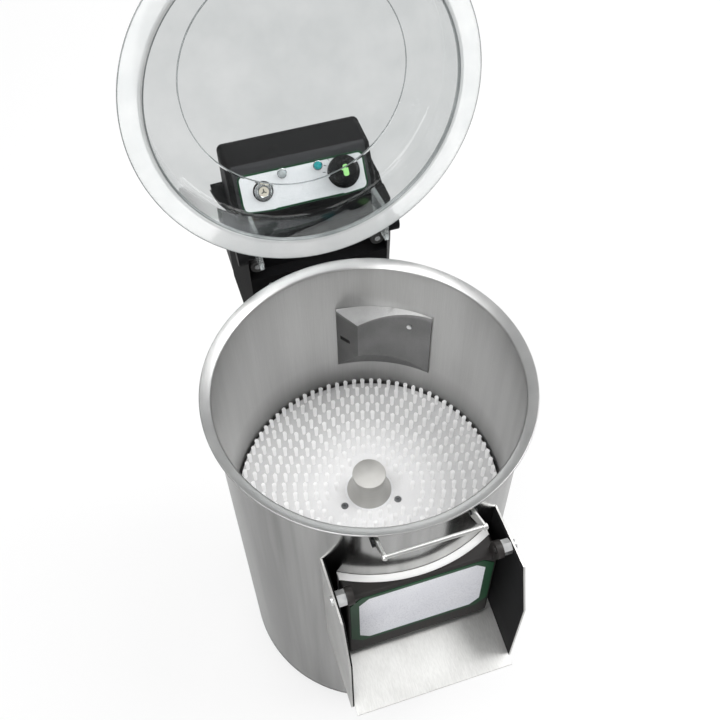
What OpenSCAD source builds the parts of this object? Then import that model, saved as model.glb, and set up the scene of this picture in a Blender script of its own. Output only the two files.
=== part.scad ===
// Floor-standing mussel cleaning machine: a round steel tub with a driven brush disc, a hinged
// clear lid, a rear housing with a control box, and a front discharge chute with a door.
// Millimetres, +Z up, origin on the tub axis at floor level, chute towards -Y.
// The lid is drawn open, the door closed.

/* [Tub] */
// Outer radius of the tub wall
tub_r = 188; // [182:1:196]
// Thickness of the tub sheet
sheet = 2; // [1.5:0.1:2.5]
// Height of the lip edge above the floor
rim_z = 620; // [605:1:660]
// How far the lip flares out past the wall
lip_reach = 12; // [9:0.5:14]
// How far the lip falls from its edge to the wall
lip_fall = 6; // [4:0.5:8]
// Depth from the lip edge to the tub floor
tub_depth = 290; // [286:1:300]
// Thickness of the tub floor
floor_t = 3; // [2:0.5:5]

/* [Base and drain] */
// Height of the rubber feet
foot_h = 46; // [40:1:60]
// Radius of a foot
foot_r = 22; // [18:1:24]
// Diameter of the circle of feet
foot_pcd = 310; // [270:2:314]
// Radius of the bolt that holds a foot
foot_bolt_r = 5; // [4:0.5:6]
// Radius of the bench bolt hole under a foot
bench_hole_r = 4.2; // [3.3:0.1:5.2]
// Thickness of the base plate
base_t = 3; // [2:0.5:5]
// How far the tub skirt hangs below the base plate
skirt_lap = 4; // [2:1:10]
// Outer radius of the drain pipe
drain_r = 20; // [16:1:22]
// Height of the drain outlet
drain_z = 110; // [100:1:130]
// How far the drain pipe stands out behind the tub
drain_reach = 55; // [40:1:70]

/* [Brush disc] */
// Depth from the lip edge to the disc face
disc_drop = 259; // [252:1:262]
// Gap between disc and tub wall
disc_gap = 3; // [2:0.5:5]
// Thickness of the disc
disc_t = 12; // [10:0.5:14]
// Height of the bristle tufts
bristle_h = 18; // [14:1:22]
// Width of a tuft across its flats
bristle_w = 4; // [3:0.1:4.6]
// Distance between tufts in a row
bristle_pitch = 15.3; // [15:0.1:18]
// Number of rows of tufts
bristle_rows = 10; // [7:1:10]
// Radius of the innermost row
first_row_r = 46; // [45:1:50]
// Height of the disc knob
knob_h = 43; // [40:1:50]
// Radius of the knob at its base
knob_base_r = 31; // [29:0.5:34]
// Radius of the knob at its top
knob_top_r = 23; // [21:0.5:26]
// Radius of the circle of disc screws
disc_screw_r = 43; // [42:0.5:46]

/* [Drive] */
// Radius of the main shaft
shaft_r = 12.5; // [11:0.5:14]
// Outer radius of the ball bearings
bearing_r = 23.5; // [21:0.5:26]
// Width of a ball bearing
bearing_w = 12; // [10:1:14]
// Length of the bearing housing below the floor
housing_len = 105; // [95:1:120]
// Height of the belt above the floor
belt_z = 120; // [112:1:130]
// Width of the belt
belt_w = 9; // [8:0.5:11]
// Thickness of the belt
belt_t = 7; // [6:0.5:8]
// Pitch radius of the motor pulley
motor_pulley_r = 19.5; // [18:0.5:21]
// Turns of the motor for one turn of the disc
belt_ratio = 4; // [3.5:0.1:4.3]
// Radius of the motor over its fins
motor_r = 50; // [46:1:54]
// Length of the motor body
motor_len = 125; // [110:1:130]
// Radius of the motor shaft
motor_shaft_r = 9.5; // [8:0.5:10]
// Radius of the rods that hang the motor plate
rod_r = 5; // [4:0.5:6]

/* [Wall deflector] */
// Angle of its thin right end round the tub
defl_from = 44; // [40:1:48]
// Angle of its ridge
defl_ridge = 77.5; // [75:0.5:79]
// Angle of its left end
defl_to = 86; // [84:1:90]
// How far the ridge stands off the wall
defl_proud = 30; // [26:1:34]
// Thickness of the thin ends
defl_tip = 3; // [2:0.5:4]
// Depth of its top edge below the lip
defl_top = 82; // [76:1:88]
// Depth of its bottom edge below the lip
defl_low = 208; // [200:1:212]
// Depth of the ridge's lower end below the lip
ridge_low = 154; // [150:1:162]

/* [Lid] */
// How far the lid reaches past the lip
lid_over = 4; // [2:0.5:6]
// Width of the lid's flange
lid_flange = 24; // [20:1:28]
// Depth of the lid's pan
lid_depth = 60; // [50:1:66]
// Wall of the lid
lid_wall = 3.5; // [3:0.1:4.5]
// Radius of the pan's outer corner
lid_round = 14; // [10:1:18]
// Angle of the open lid from closed
lid_open = 101.5; // [98:0.5:104]
// Height of the hinge axis above the lip
hinge_rise = 40; // [36:1:44]
// Distance of a hinge arm from the middle
hinge_half = 81; // [74:1:84]
// Thickness of a hinge arm
arm_t = 5; // [4:0.5:6]
// Radius of a hinge pin
pin_r = 5; // [4:0.5:6]

/* [Rear housing] */
// Half width of the rear housing
housing_half = 110; // [106:1:116]
// Half width of the hinge recess
recess_half = 93; // [90:1:96]
// Wall of the housing and of the control box
shell = 3; // [2.5:0.1:4]
// How far the housing reaches below the lip
housing_drop = 165; // [160:1:175]
// Half width of the control box
box_half = 95; // [92:1:100]
// Height of the control box top above the lip
box_rise = 112; // [108:1:120]
// Depth of the control box top
box_deep = 57; // [50:1:64]
// Slope of the control panel from level
panel_slope = 58; // [54:1:62]
// Radius of the control box edges
box_round = 8; // [5:0.5:10]
// Outer radius of the water pipe
pipe_r = 8; // [6:0.5:9]
// Radius of the water inlet thread
inlet_r = 13.2; // [12:0.1:14]

/* [Controls] */
// Half width of the control label
label_half = 83; // [80:1:86]
// Height of the control label along the slope
label_h = 51; // [50:0.5:54]
// Radius of the timer knob
dial_r = 21; // [18:0.5:22]
// Height of the timer knob
dial_h = 18; // [16:1:20]
// Place of the timer knob along the panel
dial_x = 53; // [50:0.5:55]
// Radius of the push button
button_r = 9; // [7:0.5:10]
// Place of the push button along the panel
button_x = -53; // [-58:0.5:-50]
// Travel of the push button
button_travel = 3; // [2:0.5:4]
// Radius of the lamps
lamp_r = 5.5; // [4.5:0.5:6]

/* [Chute and door] */
// Half width of the chute between its plates
chute_half = 107; // [103:1:112]
// Thickness of the chute plates
cheek_t = 2.5; // [1.5:0.1:3]
// Thickness of their black lining
liner_t = 1.8; // [1.5:0.1:2.5]
// Depth of the plates' top edge below the lip
cheek_drop = 97; // [92:1:100]
// How far the plates reach in front of the tub at the top
cheek_reach = 48; // [44:1:60]
// How far they reach in front of the tub lower down
cheek_nose = 72; // [66:1:90]
// Half width of the discharge port in the tub wall
port_half = 72; // [60:1:74]
// Height of the discharge port
port_h = 112; // [90:1:114]
// Depth of the door seal's top below the lip
seal_drop = 123; // [120:1:126]
// Thickness of the door seal
seal_t = 10; // [8:0.5:11]
// Height of the door seal
seal_h = 161; // [156:1:164]
// Gap between the door and the lining
door_side_gap = 11; // [10:0.5:14]
// How far the door stands out from the seal at its top
door_proud = 4.5; // [4:0.1:8]
// How much further it stands out at its bottom
door_lean = 2; // [1:0.5:6]
// Depth of the door's pivot below the lip
pivot_drop = 103; // [102:0.5:106]
// Radius of the pivot bolts
pivot_r = 5; // [4:0.5:5.5]
// Half width of the door label
plate_half = 90; // [80:1:90]
// Height of the door label
plate_h = 127; // [110:1:135]

/* [Bar handle] */
// Distance of a handle arm from the middle
bail_half = 55; // [50:1:66]
// Length of an arm from its pin to the bar
bail_len = 37; // [34:0.5:40]
// Angle of the arms above level
bail_angle = 36; // [30:1:38]
// Radius of the bar
bar_r = 2.5; // [2:0.5:4]

/* [Hidden] */
$fn = 96;

// Clearances: a running fit, a fixed seat on a curve, and free moving faces
run_fit = 0.05;
seat = 0.1;
free = 0.3;
// Overrun of a cutting shape past the face that it cuts
over = 1;
strap_bite = 0.996;

// Tub and base
tub_in = tub_r - sheet;
lip_r = tub_r + lip_reach;
// How far in the pieces start that are then cut to the curve of the tub
tub_bite = tub_r * 0.7;
skirt_z = foot_h - skirt_lap;
base_top = foot_h + base_t;
floor_top = rim_z - tub_depth;
floor_z = floor_top - floor_t;
foot_count = 4;
foot_taper = 3;
foot_bolt_deep = 26;
bench_hole_deep = 12;
bolt_head_h = 7;
bolt_head_k = 1.8;
vent_count = 8;
vent_w = 8;
vent_from = 60;
vent_to = 110;
drain_wall = 2;
drain_bend = 40;
drain_wall_gap = 6;
drain_y = tub_in - drain_bend - drain_wall_gap;
drain_collar_w = 4;
drain_collar_t = 4;
drain_collar_y = tub_r + free;

// Brush disc
disc_top = rim_z - disc_drop;
disc_low = disc_top - disc_t;
disc_r = tub_in - disc_gap;
slice_t = 2;
slice_gap = 3;
slice_in = knob_base_r + slice_gap;
row_edge = 4;
last_row_r = disc_r - row_edge;
disc_screw_count = 3;
disc_screw_turn = 80;
disc_screw_shank_r = 2.5;
disc_screw_head_r = 4.8;
disc_screw_head_h = 4;
disc_screw_sunk = 0.5;
disc_screw_gap = 0.5;
disc_screw_hex_r = 2.5;
disc_screw_hex_deep = 2.5;
disc_screw_end = 2;
screw_seat_z = disc_top - disc_screw_sunk - disc_screw_head_h;
screw_sink_r = disc_screw_head_r + disc_screw_gap;
knob_edge = 2;
knob_neck_z = disc_top + knob_h * 0.55;

// Main shaft, hub and bearings
hub_flange_t = 5;
hub_flange_r = 30;
hub_r = 20;
hub_h = 38;
hub_top = disc_low + hub_h;
drive_pin_r = 4;
drive_pin_ring = 25.5;
drive_pin_h = 7;
hub_cap = 6;
shaft_top = hub_top - hub_cap;
shaft_below = 28;
shaft_low = belt_z - shaft_below;
spigot_wall = 5;
spigot_r = bearing_r + spigot_wall;
spigot_gap = 2;
spigot_top = disc_low - hub_flange_t - spigot_gap;
housing_wall = 12;
housing_r = bearing_r + housing_wall;
flange_w = 20;
housing_flange_r = housing_r + flange_w;
bearing_step = 4;
housing_flange_t = 10;
housing_low = floor_z - housing_len;
bearing_gap = 6;
seal_ring_t = 7;
flange_bolt_r = 4;
flange_bolt_ring = housing_r + flange_w / 2;
flange_bolt_count = 4;

// Belt drive
driven_r = motor_pulley_r * belt_ratio;
pulley_flange = 11;
pulley_w = belt_w + pulley_flange;
groove_flare = 1.5;
pulley_holes = 5;
pulley_hole_ring = driven_r * 0.53;
pulley_hole_r = driven_r * 0.18;
pulley_rim = 4;
groove_gap = 0.4;
motor_wall_gap = 8;
motor_x = tub_in - motor_r - motor_wall_gap;
plate_gap = 20;
plate_z = belt_z + pulley_w / 2 + plate_gap;
plate_t = 6;
motor_low = plate_z + plate_t;
motor_flange_t = 6;
motor_top = motor_low + motor_len;
motor_bore_top = motor_low + motor_len / 3;
shaft_end = 4;
fin_count = 20;
fin_t = 3;
fin_h = 6;
fin_back = 1;
fan_gap = 4;
fan_wall = 2;
fan_in = motor_r - fin_h;
fan_slots = 10;
fan_slot_w = 4;
fan_slot_from = 12;
fan_slot_edge = 8;
fan_slot_to = fan_in - fan_slot_edge;
term_half = 32;
term_rise = 32;
term_from = motor_low + term_rise;
term_h = 56;
term_to = term_from + term_h;
term_reach = 20;
term_out = motor_r + term_reach;
term_seat = 2;
term_in = motor_r - fin_h - term_seat;
term_gap = 1;
rod_dx = 24;
rod_gap = 2;
rod_dy = motor_r + rod_r + rod_gap;
rod_end = 4;
plate_margin = 12;
nut_r = rod_r * bolt_head_k;
nut_h = rod_r * 1.6;

// Lid and hinge
lid_r = lip_r + lid_over;
pan_r = lid_r - lid_flange;
lid_z = rim_z + free;
lid_top = lid_z + lid_depth;
hinge_gap = 2;
hinge_y = lid_r + hinge_gap;
hinge_z = rim_z + hinge_rise;
arm_boss_w = 5;
arm_boss_r = pin_r + arm_boss_w;
arm_root_y = pan_r * 0.8;
arm_tail = 2.5;
arm_tail_y = hinge_y + arm_tail;
pin_head_w = 3;
pin_head_r = pin_r + pin_head_w;
pin_head_t = 3;
side_play = 0.5;

// Open position of the pan's rear corner, which the control box clears
corner_y = pan_r - hinge_y;
corner_z = lid_top - hinge_z;
open_corner_y = hinge_y + corner_y * cos(lid_open) + corner_z * sin(lid_open);
box_clear = 20.5;

// Rear housing and control box
housing_gap = 1;
housing_y = lid_r + housing_gap;
recess_gap = 6;
recess_y = hinge_y + arm_boss_r + recess_gap;
recess_drop = 8;
recess_z = rim_z - recess_drop;
deck_over = 6;
deck_z = rim_z + hinge_rise + deck_over;
box_y = open_corner_y + box_clear;
label_s = 10;
panel_foot = 3;
panel_len = label_s + label_h + panel_foot;
panel_y = box_y + panel_len * cos(panel_slope);
panel_z = rim_z + box_rise;
box_back = panel_y + box_deep;
housing_low_z = rim_z - housing_drop;
housing_back_drop = 20;
housing_back_z = rim_z - housing_back_drop;
chamfer_y = 35;
// The gusset under the housing narrows down the tub to a foot, cut off above its tip
gusset_over = 2;
gusset_y = housing_y + chamfer_y + gusset_over;
gusset_tip = 14;
gusset_tip_z = housing_low_z - gusset_tip;
gusset_lean = atan2(housing_back_z - gusset_tip_z, gusset_y - housing_y);
ear_w = 7;
ear_r = pin_r + ear_w;
ear_wall = 4;
pin_end = 6;
saddle_half = 70;
saddle_t = 3;
saddle_rise = 6;
saddle_low = housing_low_z + saddle_rise;
saddle_under = 12;
saddle_high = recess_z - saddle_under;
pipe_x = 32;
pipe_drop = 120;
pipe_z = rim_z - pipe_drop;
pipe_gap = 3;
pipe_drop_y = gusset_y + shell + pipe_r + pipe_gap;
inlet_edge = 32;
inlet_x = housing_half - inlet_edge;
inlet_gap = 6;
inlet_z = deck_z - shell - inlet_r - inlet_gap;
inlet_reach = 16;
inlet_collar_w = 4;
inlet_collar_t = 4;
valve_half = 17;
valve_len = 46;
valve_gap = 4;
valve_back = box_back - shell - valve_gap;
gland_r = 9;
gland_thread_r = gland_r * 0.8;
gland_cap_r = gland_r * 0.85;
gland_bore_r = gland_r * 0.42;
gland_nut_t = 5;
gland_out = 16;
gland_in = 4;
gland_gap = 1;
gland_z = housing_back_z + gland_r + shell + gland_gap;
cover_edge = 12;
cover_from = cover_edge - housing_half;
cover_inlet_gap = 10;
cover_to = inlet_x - inlet_r - cover_inlet_gap;
cover_t = 2;
cover_rise = 4;
cover_low = housing_back_z + cover_rise;
cover_under = 5;
cover_high = deck_z - cover_under;
cover_lap = 9;
cover_screw_r = 2.5;
cover_screw_in = 4.7;
cover_head_r = cover_screw_r * 1.7;
cover_head_h = 2.5;
wire_half = 22;
wire_edge = 20;
contactor_w = 45;
contactor_h = 50;
contactor_d = 48;
contactor_gap = 8;
contactor_x = contactor_gap - hinge_half;
bumper_r = 9.5;
bumper_rise = 10;
bumper_z = rim_z + bumper_rise;
bumper_gap = 0.5;
bumper_head_r = 4;

// Controls: places along the slope are measured down from its top edge
label_t = 1.2;
label_round = 7;
dial_s = label_s + label_h * 0.42;
dial_skirt = 7;
dial_step = 5;
dial_grip_r = dial_r - dial_step;
dial_draft = 1;
dial_lift = 0.8;
dial_shaft_r = 3;
timer_half = 22;
timer_deep = 22;
timer_end = 6;
dial_cap = 5;
pointer_w = 9;
pointer_l = 15;
pointer_t = 1.2;
pointer_round = 2;
button_s = label_s + label_h * 0.48;
bezel_w = 4;
bezel_r = button_r + bezel_w;
bezel_h = 4;
bezel_draft = 1.5;
button_out = 6;
button_gap = 0.5;
switch_w = 2;
switch_r = button_r + switch_w;
switch_step = 3;
switch_neck_r = switch_r - switch_step;
switch_end = 8;
switch_deep = 34;
stem_r = 3;
lamp_clear_x = -25;
lamp_green_x = 22;
lamp_edge = 2;
lamp_s = label_s + lamp_r + lamp_edge;
lamp_step = 1;
lamp_stem_r = lamp_r - lamp_step;
lamp_collar = 1.5;
lamp_deep = 14;

// Chute and door
cheek_top = rim_z - cheek_drop;
cheek_fall = 72;
cheek_bend = cheek_top - cheek_fall;
cheek_under = 30;
cheek_low = floor_top - cheek_under;
liner_x = chute_half - liner_t;
tray_t = 1.5;
tray_under = 6;
tray_back_z = floor_top - tray_under;
tray_nose_rise = 6;
tray_nose_z = cheek_low + tray_nose_rise;
tray_lip = 14;
tray_reach = cheek_nose + tray_lip;
port_rise = 27;
port_z = floor_top + port_rise;
seal_r = tub_r + free;
seal_out = seal_r + seal_t;
seal_top = rim_z - seal_drop;
seal_low = seal_top - seal_h;
door_half = liner_x - door_side_gap;
seal_edge = 0.5;
seal_half = door_half - seal_edge;
seal_band = 14;
door_y = -(seal_out + door_proud);
door_over = 2;
door_top = seal_top + door_over;
door_under = 1;
door_low = seal_low + door_under;
door_tilt = atan(door_lean / (door_top - door_low));
door_wall = 3;
door_round = 4;
pivot_out = 16;
pivot_y = -(tub_r + pivot_out);
pivot_z = rim_z - pivot_drop;
ear_t = 8;
door_ear_w = 6;
door_ear_r = pivot_r + door_ear_w;
ear_foot_r = 6;
ear_foot_in = 1;
ear_dy = door_y + ear_foot_in + ear_foot_r - pivot_y;
ear_dz = door_top - door_round - ear_foot_r - pivot_z;
hex_r = pivot_r * 1.9;
cap_w = 0.8;
cap_r = pivot_r + cap_w;
cap_t = 2.5;
bolt_short = 2;
plate_film = 0.8;
plate_s = 4;
plate_cut = 14;

// Bar handle
bail_t = 3;
bail_pin_r = 3;
bail_boss_r = 7;
bail_gap = 10.6;
bail_y = -sqrt(pow(tub_r + bail_gap, 2) - pow(bail_half, 2));
bail_drop = 6;
bail_z = rim_z - lip_fall - sheet - bail_drop;
lug_less = 1;
lug_r = bail_boss_r - lug_less;
lug_len = 40;
bail_pin_end = 2;
bail_eye = 1.5;
rivet_w = 1.2;
rivet_r = bar_r + rivet_w;
rivet_t = 1.6;
bar_y = bail_y - bail_len * cos(bail_angle);
bar_z = bail_z + bail_len * sin(bail_angle);

// Shapes used by several pieces
module zcyl(r, z0, z1, x = 0, y = 0) translate([x, y, z0]) cylinder(r = r, h = z1 - z0);
module xcyl(r, x0, x1, y, z) translate([x0, y, z]) rotate([0, 90, 0]) cylinder(r = r, h = x1 - x0);
module ycyl(r, y0, y1, x, z) translate([x, y0, z]) rotate([-90, 0, 0]) cylinder(r = r, h = y1 - y0);
module slab(x0, x1, y0, y1, z0, z1) translate([x0, y0, z0]) cube([x1 - x0, y1 - y0, z1 - z0]);
module plate_x(x0, x1) translate([x0, 0, 0]) rotate([90, 0, 90]) linear_extrude(x1 - x0) children();
module both_sides() {
    children();
    mirror([1, 0, 0]) children();
}
module ring(r_out, r_in, z0, z1) difference() {
    zcyl(r_out, z0, z1);
    zcyl(r_in, z0 - over, z1 + over);
}
// Outline of two circles, d apart, and straight sides that meet both a hair inside the tangent
module strap(a, b, d) {
    t = acos((a - b) / d);
    p = a * strap_bite;
    q = b * strap_bite;
    circle(a);
    translate([d, 0]) circle(b);
    polygon([[p * cos(t), p * sin(t)], [p * cos(t), -p * sin(t)],
        [d + q * cos(t), -q * sin(t)], [d + q * cos(t), q * sin(t)]]);
}
module hex_bolt(r, shank, head_h, head_r) {
    translate([0, 0, -shank]) cylinder(r = r, h = shank);
    cylinder(r = head_r, h = head_h, $fn = 6);
}
module round_rect(w, h, r) {
    square([w - 2 * r, h], center = true);
    square([w, h - 2 * r], center = true);
    for (x = [-1, 1], y = [-1, 1]) translate([x * (w / 2 - r), y * (h / 2 - r)]) circle(r);
}
// Frame of the control panel: x along it, y up the slope from its top edge, z out of it
module on_panel() translate([0, panel_y, panel_z]) rotate([panel_slope, 0, 0]) children();
// Frame of the door's front: x along it, y up from its top edge, z out of it
module on_door() translate([0, door_y, door_top]) rotate([90 - door_tilt, 0, 0]) children();
// Turns pieces drawn on the closed lid to the open position
module lid_opened() translate([0, hinge_y, hinge_z]) rotate([-lid_open, 0, 0])
    translate([0, -hinge_y, -hinge_z]) children();

// Tub
module tub_shell() color("#9c9d9b") difference() {
    rotate_extrude() polygon([[tub_in, skirt_z], [tub_r, skirt_z], [tub_r, rim_z - lip_fall - sheet],
        [lip_r, rim_z - sheet], [lip_r, rim_z], [tub_in, rim_z - lip_fall]]);
    slab(-port_half, port_half, -tub_r - over, -tub_bite, port_z, port_z + port_h);
    ycyl(pipe_r + seat, tub_bite, tub_r + over, pipe_x, pipe_z);
    ycyl(drain_r + seat, tub_bite, tub_r + over, 0, drain_z);
    defl_screw_hole();
}
module tub_floor() color("#8f908e") difference() {
    zcyl(tub_in - seat, floor_z, floor_top);
    zcyl(spigot_r + seat, floor_z - over, floor_top + over);
    zcyl(drain_r + seat, floor_z - over, floor_top + over, 0, drain_y);
}
module foot_places() for (i = [0.5 : foot_count]) rotate([0, 0, i * 360 / foot_count])
    translate([foot_pcd / 2, 0, 0]) children();
module base_plate() color("#8f908e") difference() {
    zcyl(tub_in - seat, foot_h, base_top);
    foot_places() zcyl(foot_bolt_r + seat, foot_h - over, base_top + over);
    for (i = [0 : vent_count - 1]) rotate([0, 0, i * 360 / vent_count])
        slab(vent_from, vent_to, -vent_w / 2, vent_w / 2, foot_h - over, base_top + over);
}
module rubber_feet() color("#2a2a2a") foot_places() difference() {
    cylinder(r1 = foot_r - foot_taper, r2 = foot_r, h = foot_h);
    zcyl(foot_bolt_r + seat, foot_h - foot_bolt_deep, foot_h + over);
    zcyl(bench_hole_r, -over, bench_hole_deep);
}
module foot_bolts() color("#b5b6b4") foot_places() translate([0, 0, base_top])
    hex_bolt(foot_bolt_r, base_t + foot_bolt_deep - over, bolt_head_h, foot_bolt_r * bolt_head_k);
module drain_pipe() color("#77797a") difference() {
    union() {
        drain_run(drain_r, 0);
        ycyl(drain_r + drain_collar_w, drain_collar_y, drain_collar_y + drain_collar_t, 0, drain_z);
    }
    drain_run(drain_r - drain_wall, over);
}
module drain_run(r, extra) {
    zcyl(r, drain_z + drain_bend, floor_top + extra, 0, drain_y);
    ycyl(r, drain_y + drain_bend, tub_r + drain_reach + extra, 0, drain_z);
    translate([0, drain_y + drain_bend, drain_z + drain_bend]) rotate([0, 90, 0]) rotate([0, 0, -90])
        rotate_extrude(angle = 90) translate([drain_bend, 0]) circle(r);
}

// Main shaft line
module bearing_housing() color("#a7a8a6") difference() {
    union() {
        zcyl(housing_r, housing_low, floor_z - housing_flange_t + over);
        zcyl(housing_flange_r, floor_z - housing_flange_t, floor_z);
        zcyl(spigot_r, floor_z - over, spigot_top);
    }
    zcyl(bearing_r + run_fit, housing_low - over, housing_low + bearing_gap + bearing_w);
    zcyl(bearing_r - bearing_step, housing_low, spigot_top);
    zcyl(bearing_r + run_fit, floor_z - bearing_gap - bearing_w, spigot_top + over);
    flange_bolt_places() zcyl(flange_bolt_r + seat, floor_z - housing_flange_t - over, floor_z + over);
}
module flange_bolt_places() for (i = [0.5 : flange_bolt_count]) rotate([0, 0, i * 360 / flange_bolt_count])
    translate([flange_bolt_ring, 0, 0]) children();
module bearing_bolts() color("#b5b6b4") flange_bolt_places()
    translate([0, 0, floor_z - housing_flange_t]) mirror([0, 0, 1])
    hex_bolt(flange_bolt_r, housing_flange_t, bolt_head_h, flange_bolt_r * bolt_head_k);
module shaft_bearings() color("#c2c3c4") {
    ring(bearing_r, shaft_r + run_fit, housing_low + bearing_gap, housing_low + bearing_gap + bearing_w);
    ring(bearing_r, shaft_r + run_fit, floor_z - bearing_gap - bearing_w, floor_z - bearing_gap);
}
module shaft_seal() color("#3a2a22")
    ring(bearing_r, shaft_r + run_fit, spigot_top - seal_ring_t, spigot_top);
module main_shaft() color("#b9babb") zcyl(shaft_r, shaft_low, shaft_top);
module drive_hub() color("#a9aaab") difference() {
    union() {
        zcyl(hub_flange_r, disc_low - hub_flange_t, disc_low);
        zcyl(hub_r, disc_low - over, hub_top);
        for (s = [-1, 1]) zcyl(drive_pin_r, disc_low - over, disc_low + drive_pin_h, s * drive_pin_ring);
    }
    zcyl(shaft_r + run_fit, disc_low - hub_flange_t - over, shaft_top + run_fit);
}
module pulley(pitch, bore) {
    rim_r = pitch + pulley_rim;
    groove_r = pitch - belt_t / 2 - groove_gap;
    low_w = belt_w / 2 + groove_gap;
    rotate_extrude() polygon([[bore, -pulley_w / 2], [rim_r, -pulley_w / 2], [rim_r, -low_w - groove_flare],
        [groove_r, -low_w], [groove_r, low_w], [rim_r, low_w + groove_flare], [rim_r, pulley_w / 2],
        [bore, pulley_w / 2]]);
}
module driven_pulley() color("#6f7172") translate([0, 0, belt_z]) difference() {
    pulley(driven_r, shaft_r + run_fit);
    for (i = [1 : pulley_holes]) rotate([0, 0, i * 360 / pulley_holes])
        zcyl(pulley_hole_r, -pulley_w, pulley_w, pulley_hole_ring);
}
module motor_pulley() color("#6f7172") translate([motor_x, 0, belt_z])
    pulley(motor_pulley_r, motor_shaft_r + run_fit);
module drive_belt() color("#1d1d1d") translate([0, 0, belt_z - belt_w / 2]) linear_extrude(belt_w)
    difference() {
        strap(driven_r + belt_t / 2, motor_pulley_r + belt_t / 2, motor_x);
        strap(driven_r - belt_t / 2, motor_pulley_r - belt_t / 2, motor_x);
    }

// Motor
module motor_shaft() color("#c0c1c2")
    zcyl(motor_shaft_r, belt_z - pulley_w / 2 - shaft_end, motor_bore_top - shaft_end, motor_x);
module motor_body() color("#5c6b74") difference() {
    union() {
        zcyl(motor_r, motor_low, motor_low + motor_flange_t, motor_x);
        zcyl(motor_r - fin_h, motor_low, motor_top, motor_x);
        translate([motor_x, 0, 0]) for (i = [0.5 : fin_count]) rotate([0, 0, i * 360 / fin_count])
            slab(0, motor_r - fin_back, -fin_t / 2, fin_t / 2, motor_low + over, motor_top - fin_h);
    }
    zcyl(motor_shaft_r + run_fit, motor_low - over, motor_bore_top, motor_x);
    slab(motor_x - motor_r - over, motor_x - term_in, -term_half - term_gap, term_half + term_gap,
        term_from - term_gap, term_to + term_gap);
}
module motor_fan_cover() color("#34383a") translate([motor_x, 0, 0]) difference() {
    fan_top = floor_z - fan_gap;
    zcyl(fan_in + fan_wall, motor_top, fan_top);
    zcyl(fan_in, motor_top - over, fan_top - fan_wall);
    for (i = [1 : fan_slots]) rotate([0, 0, i * 360 / fan_slots]) slab(fan_slot_from, fan_slot_to,
        -fan_slot_w / 2, fan_slot_w / 2, fan_top - 2 * fan_wall, fan_top + over);
}
module motor_terminal_box() color("#2e3234")
    slab(motor_x - term_out, motor_x - term_in, -term_half, term_half, term_from, term_to);
module rod_places() for (x = [-1, 1], y = [-1, 1])
    translate([motor_x + x * rod_dx, y * rod_dy, 0]) children();
module motor_plate() color("#7d7f80") difference() {
    slab(motor_x - rod_dx - plate_margin, motor_x + rod_dx + plate_margin, -rod_dy - plate_margin,
        rod_dy + plate_margin, plate_z, motor_low);
    zcyl(motor_shaft_r * 2, plate_z - over, motor_low + over, motor_x);
    rod_places() zcyl(rod_r + seat, plate_z - over, motor_low + over);
}
module motor_hangers() color("#b5b6b4") rod_places() {
    zcyl(rod_r, plate_z - nut_h - rod_end, floor_z);
    for (z = [plate_z - nut_h, motor_low]) difference() {
        translate([0, 0, z]) cylinder(r = nut_r, h = nut_h, $fn = 6);
        zcyl(rod_r + seat, z - over, z + nut_h + over);
    }
}

// Brush disc
module brush_disc() color("#e6e8ea") difference() {
    union() {
        zcyl(disc_r, disc_low, disc_top - slice_t);
        zcyl(slice_in - seat, disc_low, disc_top);
    }
    zcyl(hub_r + run_fit, disc_low - over, disc_top + over);
    for (s = [-1, 1])
        zcyl(drive_pin_r + seat, disc_low - over, disc_low + drive_pin_h + over, s * drive_pin_ring);
    disc_screw_places() {
        zcyl(disc_screw_shank_r + seat, disc_low - over, disc_top + over);
        zcyl(screw_sink_r, screw_seat_z, disc_top + over);
    }
}
module bristles() color("#fbfcfd") {
    step = (last_row_r - first_row_r) / (bristle_rows - 1);
    translate([0, 0, disc_top - slice_t]) {
        linear_extrude(slice_t) difference() {
            circle(disc_r);
            circle(slice_in);
            disc_screw_places() circle(screw_sink_r);
        }
        for (row = [0 : bristle_rows - 1]) {
            r = first_row_r + row * step;
            count = floor(2 * PI * r / bristle_pitch);
            for (i = [0 : count - 1]) let (turn = (i + row / 2) * 360 / count)
                if (screw_distance(r, turn) > screw_sink_r + bristle_w) rotate([0, 0, turn])
                    translate([r, 0, 0]) rotate([0, 0, 45])
                    cylinder(r = bristle_w / sqrt(2), h = slice_t + bristle_h, $fn = 4);
        }
    }
}
module disc_knob() color("#c4c4c0") difference() {
    rotate_extrude() polygon([[0, disc_top], [knob_base_r, disc_top], [knob_base_r, disc_top + knob_edge],
        [knob_top_r, knob_neck_z], [knob_top_r, disc_top + knob_h - knob_edge],
        [knob_top_r - knob_edge, disc_top + knob_h], [0, disc_top + knob_h]]);
    zcyl(hub_r + run_fit, disc_top - over, hub_top + over);
}
function screw_turn(i) = disc_screw_turn + i * 360 / disc_screw_count;
// Distance from a tuft, at radius r and angle turn, to the nearest disc screw
function screw_distance(r, turn) = min([for (i = [1 : disc_screw_count])
    norm([r * cos(turn), r * sin(turn)] - disc_screw_r * [cos(screw_turn(i)), sin(screw_turn(i))])]);
module disc_screw_places() for (i = [1 : disc_screw_count]) rotate([0, 0, screw_turn(i)])
    translate([disc_screw_r, 0, 0]) children();
module disc_screws() color("#8d8f90") disc_screw_places() difference() {
    union() {
        zcyl(disc_screw_shank_r, disc_low + disc_screw_end, screw_seat_z + over);
        zcyl(disc_screw_head_r, screw_seat_z, screw_seat_z + disc_screw_head_h);
    }
    translate([0, 0, screw_seat_z + disc_screw_head_h - disc_screw_hex_deep])
        cylinder(r = disc_screw_hex_r, h = disc_screw_head_h, $fn = 6);
}

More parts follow.
